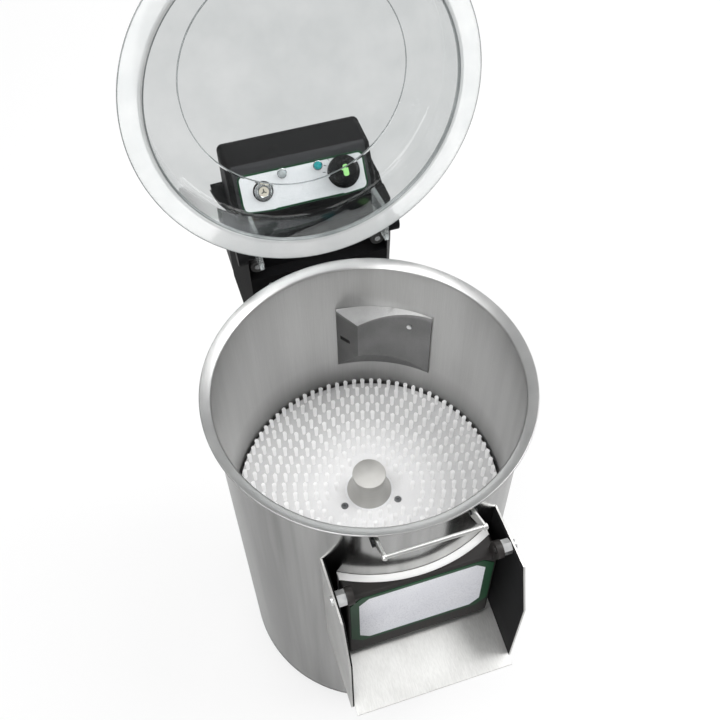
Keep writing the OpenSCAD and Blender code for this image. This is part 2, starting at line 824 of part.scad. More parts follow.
// Wall deflector: a section of four corners carried round the tub wall
defl_steps = 12;
defl_slope = 6;
defl_edge = 4;
defl_end_fall = 1;
function defl_front(f) = tub_in - defl_proud + (defl_proud - defl_tip) * sin(90 * f);
function defl_section(a, r, top, low) = let (w = tub_in - seat) [for (p = [[w, rim_z - defl_top],
    [r, rim_z - top], [r, rim_z - low], [w, rim_z - defl_low]]) [p[0] * cos(a), p[0] * sin(a), p[1]]];
defl_sections = concat([for (i = [0 : defl_steps]) let (f = 1 - i / defl_steps)
    defl_section(defl_ridge + (defl_from - defl_ridge) * f, defl_front(f), defl_top + defl_slope * (1 - f),
    ridge_low + (defl_low - defl_edge - ridge_low) * f)],
    [defl_section(defl_to, tub_in - defl_tip, defl_top + defl_end_fall, defl_low - defl_edge)]);
// Its screw sits this share of the way from the ridge to the right end
defl_screw_f = 0.71;
defl_screw_a = defl_ridge + (defl_from - defl_ridge) * defl_screw_f;
defl_screw_up = 36;
defl_screw_z = rim_z - (defl_top + defl_low) / 2 + defl_screw_up;
defl_screw_r = defl_front(defl_screw_f);
defl_head_r = 3.6;
defl_head_h = 2;
trim_screw_r = 2.5;
// Water slot low in the ridge, fed by the pipe behind it
jet_y = tub_in * 0.94;
jet_rise = 15;
jet_low = rim_z - ridge_low + jet_rise;
jet_turn = 212;
jet_from = 4;
jet_len = 26;
jet_half = 8.5;
jet_aside = 3;
jet_t = 7;
pipe_seat = 3;
module defl_screw_frame() rotate([0, 0, defl_screw_a]) translate([0, 0, defl_screw_z]) children();
module defl_screw_hole() defl_screw_frame()
    xcyl(trim_screw_r + seat, defl_screw_r - 2 * defl_head_h, tub_r + over, 0, 0);
module wall_deflector() color("#8a8b8b") difference() {
    last = defl_steps + 1;
    polyhedron([for (s = defl_sections) for (p = s) p], concat([[0, 1, 2], [0, 2, 3]],
        [for (i = [0 : last - 1], k = [0 : 3]) let (a = 4 * i + k, b = 4 * i + (k + 1) % 4) each
        [[a, a + 4, b + 4], [a, b + 4, b]]],
        [[4 * last, 4 * last + 2, 4 * last + 1], [4 * last, 4 * last + 3, 4 * last + 2]]));
    ycyl(pipe_r + seat, jet_y - pipe_seat, tub_r, pipe_x, pipe_z);
    zcyl(pipe_r * 0.6, jet_low, pipe_z, pipe_x, jet_y);
    translate([pipe_x, jet_y, jet_low]) rotate([0, 0, jet_turn])
        slab(jet_from, jet_len, -jet_half - jet_aside, jet_half - jet_aside, 0, jet_t);
    defl_screw_frame() xcyl(defl_head_r + seat, defl_screw_r - defl_proud, defl_screw_r, 0, 0);
    defl_screw_hole();
}
module deflector_screw() color("#b9babb") defl_screw_frame() {
    xcyl(defl_head_r, defl_screw_r - defl_head_h, defl_screw_r, 0, 0);
    xcyl(trim_screw_r, defl_screw_r - over, tub_r + defl_edge, 0, 0);
}

// Water line
module water_pipe() color("#b98a5a") {
    for (p = [[inlet_x, inlet_z], [inlet_x, pipe_z], [pipe_x, pipe_z]])
        translate([p[0], pipe_drop_y, p[1]]) sphere(pipe_r);
    ycyl(pipe_r, pipe_drop_y, valve_back - valve_len, inlet_x, inlet_z);
    zcyl(pipe_r, pipe_z, inlet_z, inlet_x, pipe_drop_y);
    xcyl(pipe_r, pipe_x, inlet_x, pipe_drop_y, pipe_z);
    ycyl(pipe_r, jet_y, pipe_drop_y, pipe_x, pipe_z);
}
module solenoid_valve() color("#3b3d40") {
    slab(inlet_x - valve_half, inlet_x + valve_half, valve_back - valve_len, valve_back,
        inlet_z - valve_half, inlet_z + valve_half);
    ycyl(inlet_r, valve_back - over, box_back + inlet_reach, inlet_x, inlet_z);
    ycyl(inlet_r + inlet_collar_w, box_back + seat, box_back + inlet_collar_t, inlet_x, inlet_z);
}

// Rear housing
module housing_side(inset) {
    aside = inset / sin(gusset_lean);
    polygon([[housing_y + inset, gusset_tip_z + (inset + aside) * tan(gusset_lean)],
        [gusset_y - aside + inset / tan(gusset_lean), housing_back_z + inset],
        [box_back - inset, housing_back_z + inset], [box_back - inset, deck_z - inset],
        [housing_y + inset, deck_z - inset]]);
}
module housing_plan(inset) {
    half = housing_half - inset;
    front = recess_half - inset / 2;
    polygon([[-front, housing_y - over], [front, housing_y - over], [front, housing_y],
        [half, housing_y + chamfer_y], [half, box_back + over], [-half, box_back + over],
        [-half, housing_y + chamfer_y], [-front, housing_y]]);
}
module housing_block(inset) intersection() {
    plate_x(-housing_half, housing_half) housing_side(inset);
    translate([0, 0, housing_low_z]) linear_extrude(deck_z - housing_low_z) housing_plan(inset);
}
module rear_housing() color("#2b2b2c") difference() {
    union() {
        difference() {
            housing_block(0);
            difference() {
                housing_block(shell);
                slab(-recess_half - shell, recess_half + shell, housing_y - over, recess_y + shell,
                    recess_z - shell, deck_z);
            }
            slab(-recess_half, recess_half, housing_y - over, recess_y, recess_z, deck_z + over);
        }
        both_sides() xcyl(ear_r, recess_half, housing_half - ear_wall, hinge_y, hinge_z);
    }
    both_sides() xcyl(pin_r + seat, recess_half - over, housing_half - pin_end, hinge_y, hinge_z);
    ycyl(pipe_r + seat, housing_y - over, pipe_drop_y, pipe_x, pipe_z);
    zcyl(pipe_r + seat, pipe_z, housing_back_z + 2 * shell, inlet_x, pipe_drop_y);
    ycyl(inlet_r + seat, box_back - shell - over, box_back + over, inlet_x, inlet_z);
    ycyl(gland_thread_r + seat, box_back - shell - over, box_back + over, inlet_x, gland_z);
    slab(cover_from + cover_lap, cover_to - cover_lap, box_back - shell - over, box_back + over,
        cover_low + cover_lap, cover_high - cover_lap);
    cover_screw_places() ycyl(cover_screw_r + seat, box_back - shell - over, box_back + over, 0, 0);
    slab(-wire_half, wire_half, box_y + wire_edge, box_back - wire_edge, deck_z - shell - over,
        deck_z + over);
    both_sides() ycyl(trim_screw_r + seat, recess_y - over, recess_y + shell + over, hinge_half, bumper_z);
}
module saddle_bracket() color("#8f908e") difference() {
    slab(-saddle_half, saddle_half, tub_bite, housing_y - seat, saddle_low, saddle_high);
    slab(-saddle_half + saddle_t, saddle_half - saddle_t, tub_bite - over, housing_y + over,
        saddle_low + saddle_t, saddle_high - saddle_t);
    zcyl(tub_r + seat, saddle_low - over, saddle_high + over);
}
module cover_screw_places() for (x = [cover_from + cover_screw_in, cover_to - cover_screw_in],
    z = [cover_low + cover_screw_in, cover_high - cover_screw_in]) translate([x, 0, z]) children();
module rear_cover() color("#303031") difference() {
    slab(cover_from, cover_to, box_back, box_back + cover_t, cover_low, cover_high);
    cover_screw_places() ycyl(cover_screw_r + seat, box_back - over, box_back + cover_t + over, 0, 0);
}
module cover_screws() color("#b9babb") {
    cover_screw_places() {
        ycyl(cover_screw_r, box_back - shell - cover_t, box_back + cover_t + over, 0, 0);
        ycyl(cover_head_r, box_back + cover_t, box_back + cover_t + cover_head_h, 0, 0);
    }
    both_sides() {
        ycyl(trim_screw_r, bumper_front + over, recess_y + 2 * shell, hinge_half, bumper_z);
        ycyl(bumper_head_r, bumper_front + seat, bumper_front + cover_head_h, hinge_half, bumper_z);
    }
}
module cable_gland() color("#1c1c1d") difference() {
    union() {
        ycyl(gland_thread_r, box_back - shell - gland_in, box_back + over, inlet_x, gland_z);
        translate([inlet_x, box_back, gland_z]) rotate([-90, 0, 0])
            cylinder(r = gland_r, h = gland_nut_t, $fn = 6);
        ycyl(gland_cap_r, box_back + gland_nut_t - over, box_back + gland_out, inlet_x, gland_z);
    }
    ycyl(gland_bore_r, box_back - shell - gland_in - over, box_back + gland_out + over, inlet_x, gland_z);
}
module contactor() color("#d8d4c8")
    slab(contactor_x, contactor_x + contactor_w, recess_y + shell, recess_y + shell + contactor_d,
        deck_z - 2 * shell - contactor_h, deck_z - 2 * shell);
bumper_front = arm_tail_y + bumper_gap;
module lid_bumpers() color("#262626") both_sides() difference() {
    ycyl(bumper_r, bumper_front, recess_y - seat, hinge_half, bumper_z);
    ycyl(trim_screw_r + seat, bumper_front - over, recess_y + over, hinge_half, bumper_z);
    ycyl(bumper_head_r + seat, bumper_front - over, bumper_front + cover_head_h, hinge_half, bumper_z);
}

// Control box: a rounded wedge on a flat foot, its corners placed by the panel's slope
module box_form(inset, foot_z) {
    r = box_round - inset;
    half = box_half - box_round;
    top_y = panel_y + box_round * tan(panel_slope / 2);
    top_z = panel_z - box_round;
    front_y = box_y + box_round;
    front_z = top_z - (top_y - front_y) * tan(panel_slope);
    back_y = box_back - box_round;
    hull() for (x = [-half, half]) {
        for (c = [[front_y, front_z], [top_y, top_z], [back_y, top_z]])
            translate([x, c[0], c[1]]) sphere(r, $fn = 24);
        for (y = [front_y, back_y]) translate([x, y, foot_z]) cylinder(r = r, h = over, $fn = 24);
    }
}
module panel_hole(x, s, r) translate([x, -s, 0]) zcyl(r, -2 * shell, label_t + over);
module panel_holes() {
    panel_hole(dial_x, dial_s, dial_shaft_r + over);
    panel_hole(button_x, button_s, switch_neck_r + seat);
    panel_hole(lamp_clear_x, lamp_s, lamp_stem_r + seat);
    panel_hole(lamp_green_x, lamp_s, lamp_stem_r + seat);
}
module control_box() color("#2d2d2e") difference() {
    box_form(0, deck_z);
    box_form(shell, deck_z - over);
    on_panel() panel_holes();
}
module control_label() color("#f2f2f4") on_panel() difference() {
    translate([0, -label_s - label_h / 2, 0]) linear_extrude(label_t)
        round_rect(2 * label_half, label_h, label_round);
    panel_holes();
}
module timer_body() color("#d9d6cc") on_panel() translate([dial_x, -dial_s, 0]) difference() {
    union() {
        slab(-timer_half, timer_half, -timer_half, timer_half, -shell - timer_deep, -shell - seat);
        zcyl(dial_shaft_r + over - seat, -shell - over, label_t);
    }
    zcyl(dial_shaft_r + run_fit, -shell - timer_deep + timer_end, label_t + over);
}
module timer_shaft() color("#c0c1c2") on_panel() translate([dial_x, -dial_s, 0])
    zcyl(dial_shaft_r, -shell - timer_deep + timer_end + over, dial_h - dial_cap - over);
module on_dial() on_panel() translate([dial_x, -dial_s, label_t + dial_lift]) children();
module timer_knob() color("#1b1b1c") on_dial() difference() {
    union() {
        cylinder(r = dial_r, h = dial_skirt);
        cylinder(r1 = dial_grip_r + dial_draft, r2 = dial_grip_r - dial_draft, h = dial_h);
    }
    zcyl(dial_shaft_r + run_fit, -over, dial_h - dial_cap);
}
module knob_pointer() color("#a8ee90") on_dial() translate([0, pointer_l / 4, dial_h])
    linear_extrude(pointer_t) round_rect(pointer_w, pointer_l, pointer_round);
module on_button() on_panel() translate([button_x, -button_s, label_t]) children();
module button_bezel() color("#c9cacb") on_button() difference() {
    cylinder(r1 = bezel_r, r2 = bezel_r - bezel_draft, h = bezel_h);
    zcyl(button_r + free, -over, bezel_h + over);
}
module stop_button() color("#c8c0b4") on_button() {
    zcyl(button_r, button_travel + button_gap, button_out);
    zcyl(stem_r, -label_t - shell - switch_deep / 2, button_travel + over);
}
module button_switch() color("#3a3a3c") on_button() difference() {
    union() {
        zcyl(switch_r, -label_t - shell - switch_deep, -label_t - shell - seat);
        zcyl(switch_neck_r, -label_t - shell - over, 0);
    }
    zcyl(stem_r + run_fit, -label_t - shell - switch_deep + switch_end, over);
}
module lamp(x) on_panel() translate([x, -lamp_s, 0]) {
    zcyl(lamp_stem_r, -shell - lamp_deep, label_t);
    translate([0, 0, label_t]) cylinder(r = lamp_r, h = lamp_collar);
    translate([0, 0, label_t + lamp_collar]) difference() {
        sphere(lamp_r);
        zcyl(lamp_r + over, -lamp_r - over, 0);
    }
}
module lamp_clear() color("#dfe6e8") lamp(lamp_clear_x);
module lamp_green() color("#1a8f93") lamp(lamp_green_x);

// Lid, drawn closed and then opened
module pan_outline(r, top, corner) {
    square([r, top - corner]);
    square([r - corner, top]);
    translate([r - corner, top - corner]) circle(corner);
}
module lid_pan() color([0.85, 0.9, 0.92, 0.35]) lid_opened() translate([0, 0, lid_z]) rotate_extrude()
    intersection() {
        square([lid_r, lid_depth]);
        difference() {
            union() {
                square([lid_r, lid_wall]);
                pan_outline(pan_r, lid_depth, lid_round);
            }
            translate([0, -over]) pan_outline(pan_r - lid_wall, lid_depth - lid_wall + over,
                lid_round - lid_wall);
        }
    }
module lid_arms() color([0.85, 0.9, 0.92, 0.5]) lid_opened() difference() {
    both_sides() plate_x(hinge_half - arm_t / 2, hinge_half + arm_t / 2) difference() {
        union() {
            polygon([[arm_root_y, lid_z + lid_wall], [arm_tail_y, lid_z + lid_wall], [arm_tail_y, hinge_z],
                [hinge_y, hinge_z + arm_boss_r], [arm_root_y, lid_top - lid_round / 2]]);
            translate([hinge_y, hinge_z]) circle(arm_boss_r);
        }
        translate([hinge_y, hinge_z]) circle(pin_r + run_fit);
    }
    zcyl(pan_r + seat, lid_z, lid_top + over);
}
module hinge_pins() color("#b9babb") both_sides() {
    arm_in = hinge_half - arm_t / 2 - side_play;
    arm_out = hinge_half + arm_t / 2 + side_play;
    xcyl(pin_r, arm_in - over, housing_half - pin_end, hinge_y, hinge_z);
    xcyl(pin_head_r, arm_in - pin_head_t, arm_in, hinge_y, hinge_z);
    xcyl(pin_head_r, arm_out, recess_half - seat, hinge_y, hinge_z);
}

// Chute
module cheek_side() polygon([[-tub_bite, cheek_top], [-(tub_r + cheek_reach), cheek_top],
    [-(tub_r + cheek_nose), cheek_bend], [-(tub_r + cheek_nose), cheek_low], [-tub_bite, cheek_low]]);
module cheek_sheet(x0, x1) difference() {
    plate_x(x0, x1) cheek_side();
    zcyl(tub_r + seat, cheek_low - over, cheek_top + over);
    xcyl(pivot_r + seat, x0 - over, x1 + over, pivot_y, pivot_z);
}
module chute_cheeks() color("#a2a3a2") both_sides() cheek_sheet(chute_half, chute_half + cheek_t);
module cheek_liners() color("#1e1e1f") both_sides() cheek_sheet(liner_x, chute_half);
module chute_tray() color("#a2a3a2") difference() {
    plate_x(-liner_x, liner_x) polygon([[-tub_bite, tray_back_z], [-tub_r, tray_back_z],
        [-(tub_r + tray_reach), tray_nose_z], [-(tub_r + tray_reach), tray_nose_z - tray_t],
        [-tub_r, tray_back_z - tray_t], [-tub_bite, tray_back_z - tray_t]]);
    zcyl(tub_r + seat, cheek_low - over, cheek_top);
}

// Discharge door
module door_form(inset) {
    r = door_round - inset;
    half = door_half - door_round;
    top = door_top - door_round;
    low = door_low + door_round;
    front_top = door_y + door_round / cos(door_tilt) + door_round * tan(door_tilt);
    front_low = front_top - (top - low) * tan(door_tilt);
    hull() for (x = [-half, half], c = [[front_top, top], [front_low, low], [-tub_bite, top],
        [-tub_bite, low]]) translate([x, c[0], c[1]]) sphere(r, $fn = 24);
}
module discharge_door() color("#323233") difference() {
    union() {
        difference() {
            door_form(0);
            zcyl(seal_out + seat, door_low - over, door_top + over);
            difference() {
                union() {
                    door_form(door_wall);
                    translate([0, 0, -door_round - door_wall]) door_form(door_wall);
                }
                zcyl(seal_out + door_wall, door_low - over, door_top + over);
            }
        }
        both_sides() difference() {
            plate_x(door_half - ear_t, door_half) translate([pivot_y, pivot_z])
                rotate(atan2(ear_dz, ear_dy)) strap(door_ear_r, ear_foot_r, norm([ear_dy, ear_dz]));
            zcyl(seal_out + seat, door_low, pivot_z + door_ear_r + over);
        }
    }
    both_sides() xcyl(pivot_r + run_fit, door_half - ear_t - over, door_half + over, pivot_y, pivot_z);
}
module door_seal() color("#f4f4f2") intersection() {
    difference() {
        ring(seal_out, seal_r, seal_low, seal_top);
        slab(-seal_half + seal_band, seal_half - seal_band, -seal_out - over, 0,
            seal_low + seal_band, seal_top - seal_band);
    }
    slab(-seal_half, seal_half, -seal_out - over, 0, seal_low - over, seal_top + over);
}
module door_label() color("#cfcfd6") on_door() linear_extrude(plate_film)
    translate([0, -plate_s - plate_h]) polygon([[-plate_half + plate_cut, 0],
    [plate_half - plate_cut, 0], [plate_half, plate_cut],
    [plate_half, plate_h - plate_cut], [plate_half - plate_cut, plate_h], [-plate_half + plate_cut, plate_h],
    [-plate_half, plate_h - plate_cut], [-plate_half, plate_cut]]);
module pivot_bolts() color("#c9cacb") both_sides() {
    xcyl(pivot_r, door_half - ear_t + bolt_short, chute_half + cheek_t + over, pivot_y, pivot_z);
    translate([door_half + side_play, pivot_y, pivot_z]) rotate([0, 90, 0])
        cylinder(r = hex_r, h = liner_x - door_half - side_play - seat, $fn = 6);
    xcyl(cap_r, chute_half + cheek_t, chute_half + cheek_t + cap_t, pivot_y, pivot_z);
}

// Bar handle under the lip
module bail_lugs() color("#a9aaab") both_sides() {
    lug_x = bail_half + bail_t / 2 + side_play;
    difference() {
        plate_x(lug_x, lug_x + bail_t) translate([bail_y, bail_z]) strap(lug_r, lug_r, lug_len);
        zcyl(tub_r + seat, bail_z - 2 * bail_boss_r, rim_z);
    }
    xcyl(bail_pin_r, bail_half - bail_t / 2 - bail_pin_end, lug_x + over, bail_y, bail_z);
}
module bail_arms() color("#b4b5b5") both_sides() plate_x(bail_half - bail_t / 2, bail_half + bail_t / 2)
    translate([bail_y, bail_z]) rotate(180 - bail_angle) difference() {
        strap(bail_boss_r, bar_r + bail_eye, bail_len);
        circle(bail_pin_r + run_fit);
        translate([bail_len, 0]) circle(bar_r + run_fit);
    }
module bail_bar() color("#c4c5c5") {
    xcyl(bar_r, -bail_half - bail_t / 2 - over, bail_half + bail_t / 2 + over, bar_y, bar_z);
    both_sides() xcyl(rivet_r, bail_half + bail_t / 2, bail_half + bail_t / 2 + rivet_t, bar_y, bar_z);
}

tub_shell();
tub_floor();
base_plate();
rubber_feet();
foot_bolts();
drain_pipe();
bearing_housing();
bearing_bolts();
shaft_bearings();
shaft_seal();
main_shaft();
drive_hub();
driven_pulley();
drive_belt();
motor_pulley();
motor_shaft();
motor_body();
motor_fan_cover();
motor_terminal_box();
motor_plate();
motor_hangers();
brush_disc();
bristles();
disc_knob();
disc_screws();
wall_deflector();
deflector_screw();
water_pipe();
solenoid_valve();
rear_housing();
saddle_bracket();
rear_cover();
cover_screws();
cable_gland();
contactor();
control_box();
control_label();
timer_body();
timer_shaft();
timer_knob();
knob_pointer();
stop_button();
button_bezel();
button_switch();
lamp_clear();
lamp_green();
lid_pan();
lid_arms();
hinge_pins();
lid_bumpers();
chute_cheeks();
cheek_liners();
chute_tray();
discharge_door();
door_seal();
door_label();
pivot_bolts();
bail_lugs();
bail_arms();
bail_bar();
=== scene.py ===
"""Mussel cleaning machine: a steel tub with a brush disc, a clear lid held open, a control box and a chute.

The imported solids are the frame. New pieces are numpy surfaces in millimetres, turned to metres as they
become meshes, in the same frame: +Z up the tub's axis, -Y towards the chute, floor at zero.
"""
import math

import bmesh
import bpy
import numpy as np
from mathutils import Matrix


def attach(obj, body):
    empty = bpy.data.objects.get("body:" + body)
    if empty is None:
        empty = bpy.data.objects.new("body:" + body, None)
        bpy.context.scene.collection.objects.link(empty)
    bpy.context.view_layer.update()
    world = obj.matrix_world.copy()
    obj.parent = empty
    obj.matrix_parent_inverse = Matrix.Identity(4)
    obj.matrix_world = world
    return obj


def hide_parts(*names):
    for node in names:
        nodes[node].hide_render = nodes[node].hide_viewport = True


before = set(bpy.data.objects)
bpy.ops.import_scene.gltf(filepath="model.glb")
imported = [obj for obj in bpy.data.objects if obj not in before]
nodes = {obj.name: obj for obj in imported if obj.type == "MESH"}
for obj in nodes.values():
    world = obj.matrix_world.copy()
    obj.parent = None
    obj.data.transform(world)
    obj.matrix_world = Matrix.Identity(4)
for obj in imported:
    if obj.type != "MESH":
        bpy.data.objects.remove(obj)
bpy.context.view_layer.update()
MM = 0.001

# Tub
TUB_MID_R = 187
SHEET = 2
SKIRT_Z = 42
LIP_BEND = 3
LIP_SLOPE = math.radians(24)
LIP_EDGE = (199.6, 618.9)
PORT_HALF = 72
PORT_Z = (357, 469)

# Brush disc
DISC_TOP = 361
DISC_R = 183
BED_IN = 34
BED_T = 2
SCREW_R = 43
SCREW_TURNS = (80, 200, 320)
SCREW_SINK_R = 5.3
# Ground kept free of tufts round each screw: less at the one behind the knob
SCREW_CLEAR = (10, 20, 20)
TUFT_H = 18
TUFT_R = 2.5
TUFT_TIP_R = 3.1
TUFT_PITCH = 14.8
EDGE_PITCH = 13
TUFT_ROWS = np.linspace(46, 176, 10)
# Neighbouring rows are half a pitch apart at this turn, straight behind the knob as the camera sees it
STAGGER_TURN = math.radians(73)
KNOB_TOP = 404
KNOB_BASE_R = 31
KNOB_TOP_R = 23
KNOB_NECK_R = 20.5

# Lid, drawn closed and turned open about its hinge
LID_Z = 620.3
LID_R = 204
PAN_R = 180
PAN_DEPTH = 60
LID_WALL = 3.5
PAN_ROUND = 14
STEP_R = 134
STEP_H = 1.0
HINGE = (206, 660)
LID_OPEN = math.radians(101.5)

# Control box and panel: s is measured down the slope from its top edge
DECK_Z = 666
BOX_HALF = 95
BOX_ROUND = 8
BOX_FRONT = 251.576
BOX_BACK = 342.491
PANEL_Y = 285.491
PANEL_Z = 732
PANEL_SLOPE = math.radians(58)
LABEL = dict(half=83, s=10, h=51, t=1.2, corner=8, border=2.4)
# Printed films lie a hair off what carries them, and their upper edges are eased
FILM_GAP = 0.02
FILM_EASE = 0.2
DIAL = dict(x=53, s=31.42, r=21, skirt=7, grip=16, h=18, lift=2.0)
MARKER = dict(w=7, h=15, corner=2.6, off=3.75, ease=0.5, crown=1.1)
TICK = dict(turns=(92, 112, 132, 152, 172), w=3.6, h=0.9, t=0.08, corner=0.2)
BUTTON = dict(x=-53, s=34.48, r=9, bezel=13, centre=6.4)
SIGN = dict(turns=(90, 210, 330), off=1.9, w=3.4, h=1.3, corner=0.3, low=4.9, top=5.5)
LAMPS = dict(clear=-25, teal=22, s=17.5, r=5.5)

# Door and bar handle
DOOR_Y = -202.8
DOOR_TOP = 499
DOOR_TILT = math.atan(2 / 162)
PLATE = dict(half=90, s=4, h=127, cut=14, t=0.8, side_border=11, end_border=6.5)
BAIL_X = 55
BAIL_PIN = (-190.833, 606)
BAIL_BAR = (-220.766, 627.748)
BAIL_T = 3
BAR_R = 2.5

# Camera, in metres and degrees: yaw to the right of +Y, pitch below level, roll; its focal length in pixels
CAMERA_PLACE = (-0.19412, -0.59932, 1.49635)
CAMERA_TURN = (17.057, 52.957, -0.996)
FOCAL_PX = 915.81
PICTURE_PX = 720
SENSOR = 36


def linear(colour, alpha=1.0):
    """An sRGB hex colour as linear red, green, blue and alpha."""
    c = np.array([int(colour[i : i + 2], 16) for i in (1, 3, 5)]) / 255
    c = np.where(c <= 0.04045, c / 12.92, ((c + 0.055) / 1.055) ** 2.4)
    return (*c.tolist(), alpha)


def add(tree, kind, inputs, **settings):
    """Adds one node with its own settings, and sets each of its inputs to a value or links it to a socket."""
    node = tree.nodes.new(kind)
    for name, value in settings.items():
        setattr(node, name, value)
    for key, value in inputs.items():
        if isinstance(value, bpy.types.NodeSocket):
            tree.links.new(value, node.inputs[key])
        else:
            node.inputs[key].default_value = value
    return node


def finish(name, sockets):
    """A material with one Principled shader, its constant sockets set."""
    material = bpy.data.materials.new(name)
    material.use_nodes = True
    shader = material.node_tree.nodes["Principled BSDF"]
    for key, value in sockets.items():
        shader.inputs[key].default_value = value
    return material, material.node_tree, shader


def worked(name, dark, pale, rough, grain, depth, cloud=60, fade=None, **sockets):
    """A surface whose working marks are streaks of grain (mm along x, y and z), over soft clouds.

    The streaks set the roughness between the two values of rough and the bump of depth mm; streaks and
    clouds together move the colour from dark to pale. A fade of (axes, start, stop, first, last) changes the
    colour's value from first to last as the distance along those axes goes from start to stop mm.
    """
    material, tree, shader = finish(name, sockets)
    where = add(tree, "ShaderNodeTexCoord", {}).outputs["Object"]
    along = add(tree, "ShaderNodeMapping", {"Vector": where, "Scale": [1 / (g * MM) for g in grain]})
    streak = add(tree, "ShaderNodeTexNoise", {"Vector": along.outputs[0], "Scale": 1.0, "Detail": 3.0,
                                              "Roughness": 0.6})
    size = np.ones(3) * cloud * MM
    drift = add(tree, "ShaderNodeMapping", {"Vector": where, "Scale": (1 / size).tolist()})
    patch = add(tree, "ShaderNodeTexNoise", {"Vector": drift.outputs[0], "Scale": 1.0, "Detail": 2.0})
    both = add(tree, "ShaderNodeMath", {0: streak.outputs[0], 1: patch.outputs[0]}, operation="ADD")
    # One such noise lies mostly between 0.3 and 0.7, and two together between 0.75 and 1.25
    tint = add(tree, "ShaderNodeMapRange", {0: both.outputs[0], 1: 0.75, 2: 1.25})
    ramp = add(tree, "ShaderNodeValToRGB", {0: tint.outputs[0]})
    ramp.color_ramp.elements[0].color = linear(dark)
    ramp.color_ramp.elements[1].color = linear(pale)
    gloss = add(tree, "ShaderNodeMapRange", {0: streak.outputs[0], 1: 0.3, 2: 0.7, 3: rough[0], 4: rough[1]})
    bump = add(tree, "ShaderNodeBump", {"Height": streak.outputs[0], "Distance": depth * MM, "Strength": 1.0})
    colour = ramp.outputs[0]
    if fade:
        axes, start, stop, first, last = fade
        flat = add(tree, "ShaderNodeVectorMath", {0: where, 1: axes}, operation="MULTIPLY")
        far = add(tree, "ShaderNodeVectorMath", {0: flat.outputs[0]}, operation="LENGTH").outputs["Value"]
        value = add(tree, "ShaderNodeMapRange", {0: far, 1: start * MM, 2: stop * MM, 3: first, 4: last})
        colour = add(tree, "ShaderNodeHueSaturation", {"Color": colour, "Value": value.outputs[0]}).outputs[0]
    tree.links.new(colour, shader.inputs["Base Color"])
    tree.links.new(gloss.outputs[0], shader.inputs["Roughness"])
    tree.links.new(bump.outputs[0], shader.inputs["Normal"])
    return material


# Stainless sheet, ground with a fine belt before rolling: a grey mirror broken by long soft scratches, drawn
# coarser than they are so that they show. Low by the disc it is painted darker: painted shade and a painted
# reflection of the dark gaps between the tufts
brushed_stainless = worked("brushed_stainless_sheet", "#bfbfbe", "#cbcbca", (0.34, 0.42), (0.9, 0.9, 60),
                           0.003, cloud=(30, 30, 500), fade=((0, 0, 1), 364, 425, 0.6, 1.0), Metallic=1.0)
# The outside of the same sheet, bright rolled: sharper reflections, and soft vertical bands down the wall
# that are painted reflections of the light and dark around the machine
bright_stainless = worked("bright_rolled_stainless", "#9a9a99", "#c2c2c1", (0.14, 0.18), (25, 25, 600),
                          0.0005, cloud=(60, 60, 600), Metallic=1.0)
# The rolled lip, buffed after forming: a soft, even sheen
buffed_stainless = worked("buffed_stainless_lip", "#b8b8b8", "#c3c3c2", (0.31, 0.35), (40, 40, 40), 0,
                          cloud=80, Metallic=1.0)
# Stainless plate, sheared and dressed: paler, with a satin grain
satin_stainless = worked("satin_stainless_plate", "#c6c6c4", "#d8d8d6", (0.28, 0.38), (1.6, 40, 1.6),
                         0.002, Metallic=1.0)
# Stainless bar, drawn and tumbled: pale and satin all round
drawn_stainless = worked("drawn_stainless_bar", "#d8d8d6", "#e1e1df", (0.28, 0.36), (60, 3, 3), 0.0005,
                         Metallic=1.0)
# Steel, blackened in hot oil: nearly black, with a dull sheen
blackened_steel = worked("oil_blackened_steel", "#2a2b2c", "#3a3b3c", (0.34, 0.44), (3, 3, 3), 0.003,
                         Metallic=1.0)
# Bolts, zinc plated bright: pale and even
bright_zinc = worked("bright_zinc_plate", "#e3e5e6", "#edeeee", (0.32, 0.40), (6, 6, 6), 0.0005, cloud=30,
                     Metallic=1.0)
# Stainless screws, passivated: a duller, darker grey
passivated_stainless = worked("passivated_stainless_screws", "#6c6e70", "#868889", (0.30, 0.40),
                              (4, 4, 4), 0.002, cloud=20, Metallic=1.0)
# Zinc plated steel, tumbled: pale and slightly mottled
plated_steel = worked("zinc_plated_steel", "#bfc2c4", "#d6d8d9", (0.2, 0.28), (4, 4, 4), 0.002, cloud=20,
                      Metallic=1.0)
# Ground steel shafts: fine hoops round the axis
ground_steel = worked("ground_shaft_steel", "#a5a7a9", "#c9cbcc", (0.15, 0.25), (8, 8, 0.5), 0.008,
                      Metallic=1.0)
# Turned aluminium, satin anodised: fine hoops left by the tool, and a dry sheen
turned_aluminium = worked("turned_satin_aluminium", "#bfbebb", "#cccbc8", (0.54, 0.64), (14, 14, 0.7),
                          0.006, cloud=30, Metallic=1.0)
# Cast stainless, shot blasted: an even grey with a fine tooth
blasted_casting = worked("shot_blasted_casting", "#9c9c9c", "#b4b4b4", (0.40, 0.52), (0.9, 0.9, 0.9),
                         0.02, cloud=35, Metallic=1.0)
# The same casting in a darker grey, worn smooth by the shells; its top is painted paler, a painted light from
# above
worn_casting_lit_top = worked("worn_dark_casting_lit_top", "#7c7c7c", "#8e8e8e", (0.36, 0.46), (1.2, 1.2, 1.2), 0.008,
                      cloud=50, fade=((0, 0, 1), 529, 534, 1.0, 1.5), Metallic=1.0)
# Machined cast iron: dark, with turning hoops
machined_iron = worked("machined_cast_iron", "#54575a", "#74777a", (0.4, 0.55), (9, 9, 0.8), 0.03,
                       Metallic=1.0)
# Motor enamel sprayed over a casting: orange peel and a dull gloss
motor_enamel = worked("sprayed_motor_enamel", "#4d5960", "#5d6a72", (0.35, 0.5), (2.2, 2.2, 2.2), 0.05)
# ABS moulded in a spark-eroded tool: near black, with a fine even tooth that spreads highlights
grained_abs = worked("grained_black_abs", "#0b0b0c", "#121213", (0.40, 0.50), (0.8, 0.8, 0.8), 0.008,
                     cloud=80, IOR=1.53, **{"Specular IOR Level": 0.08})
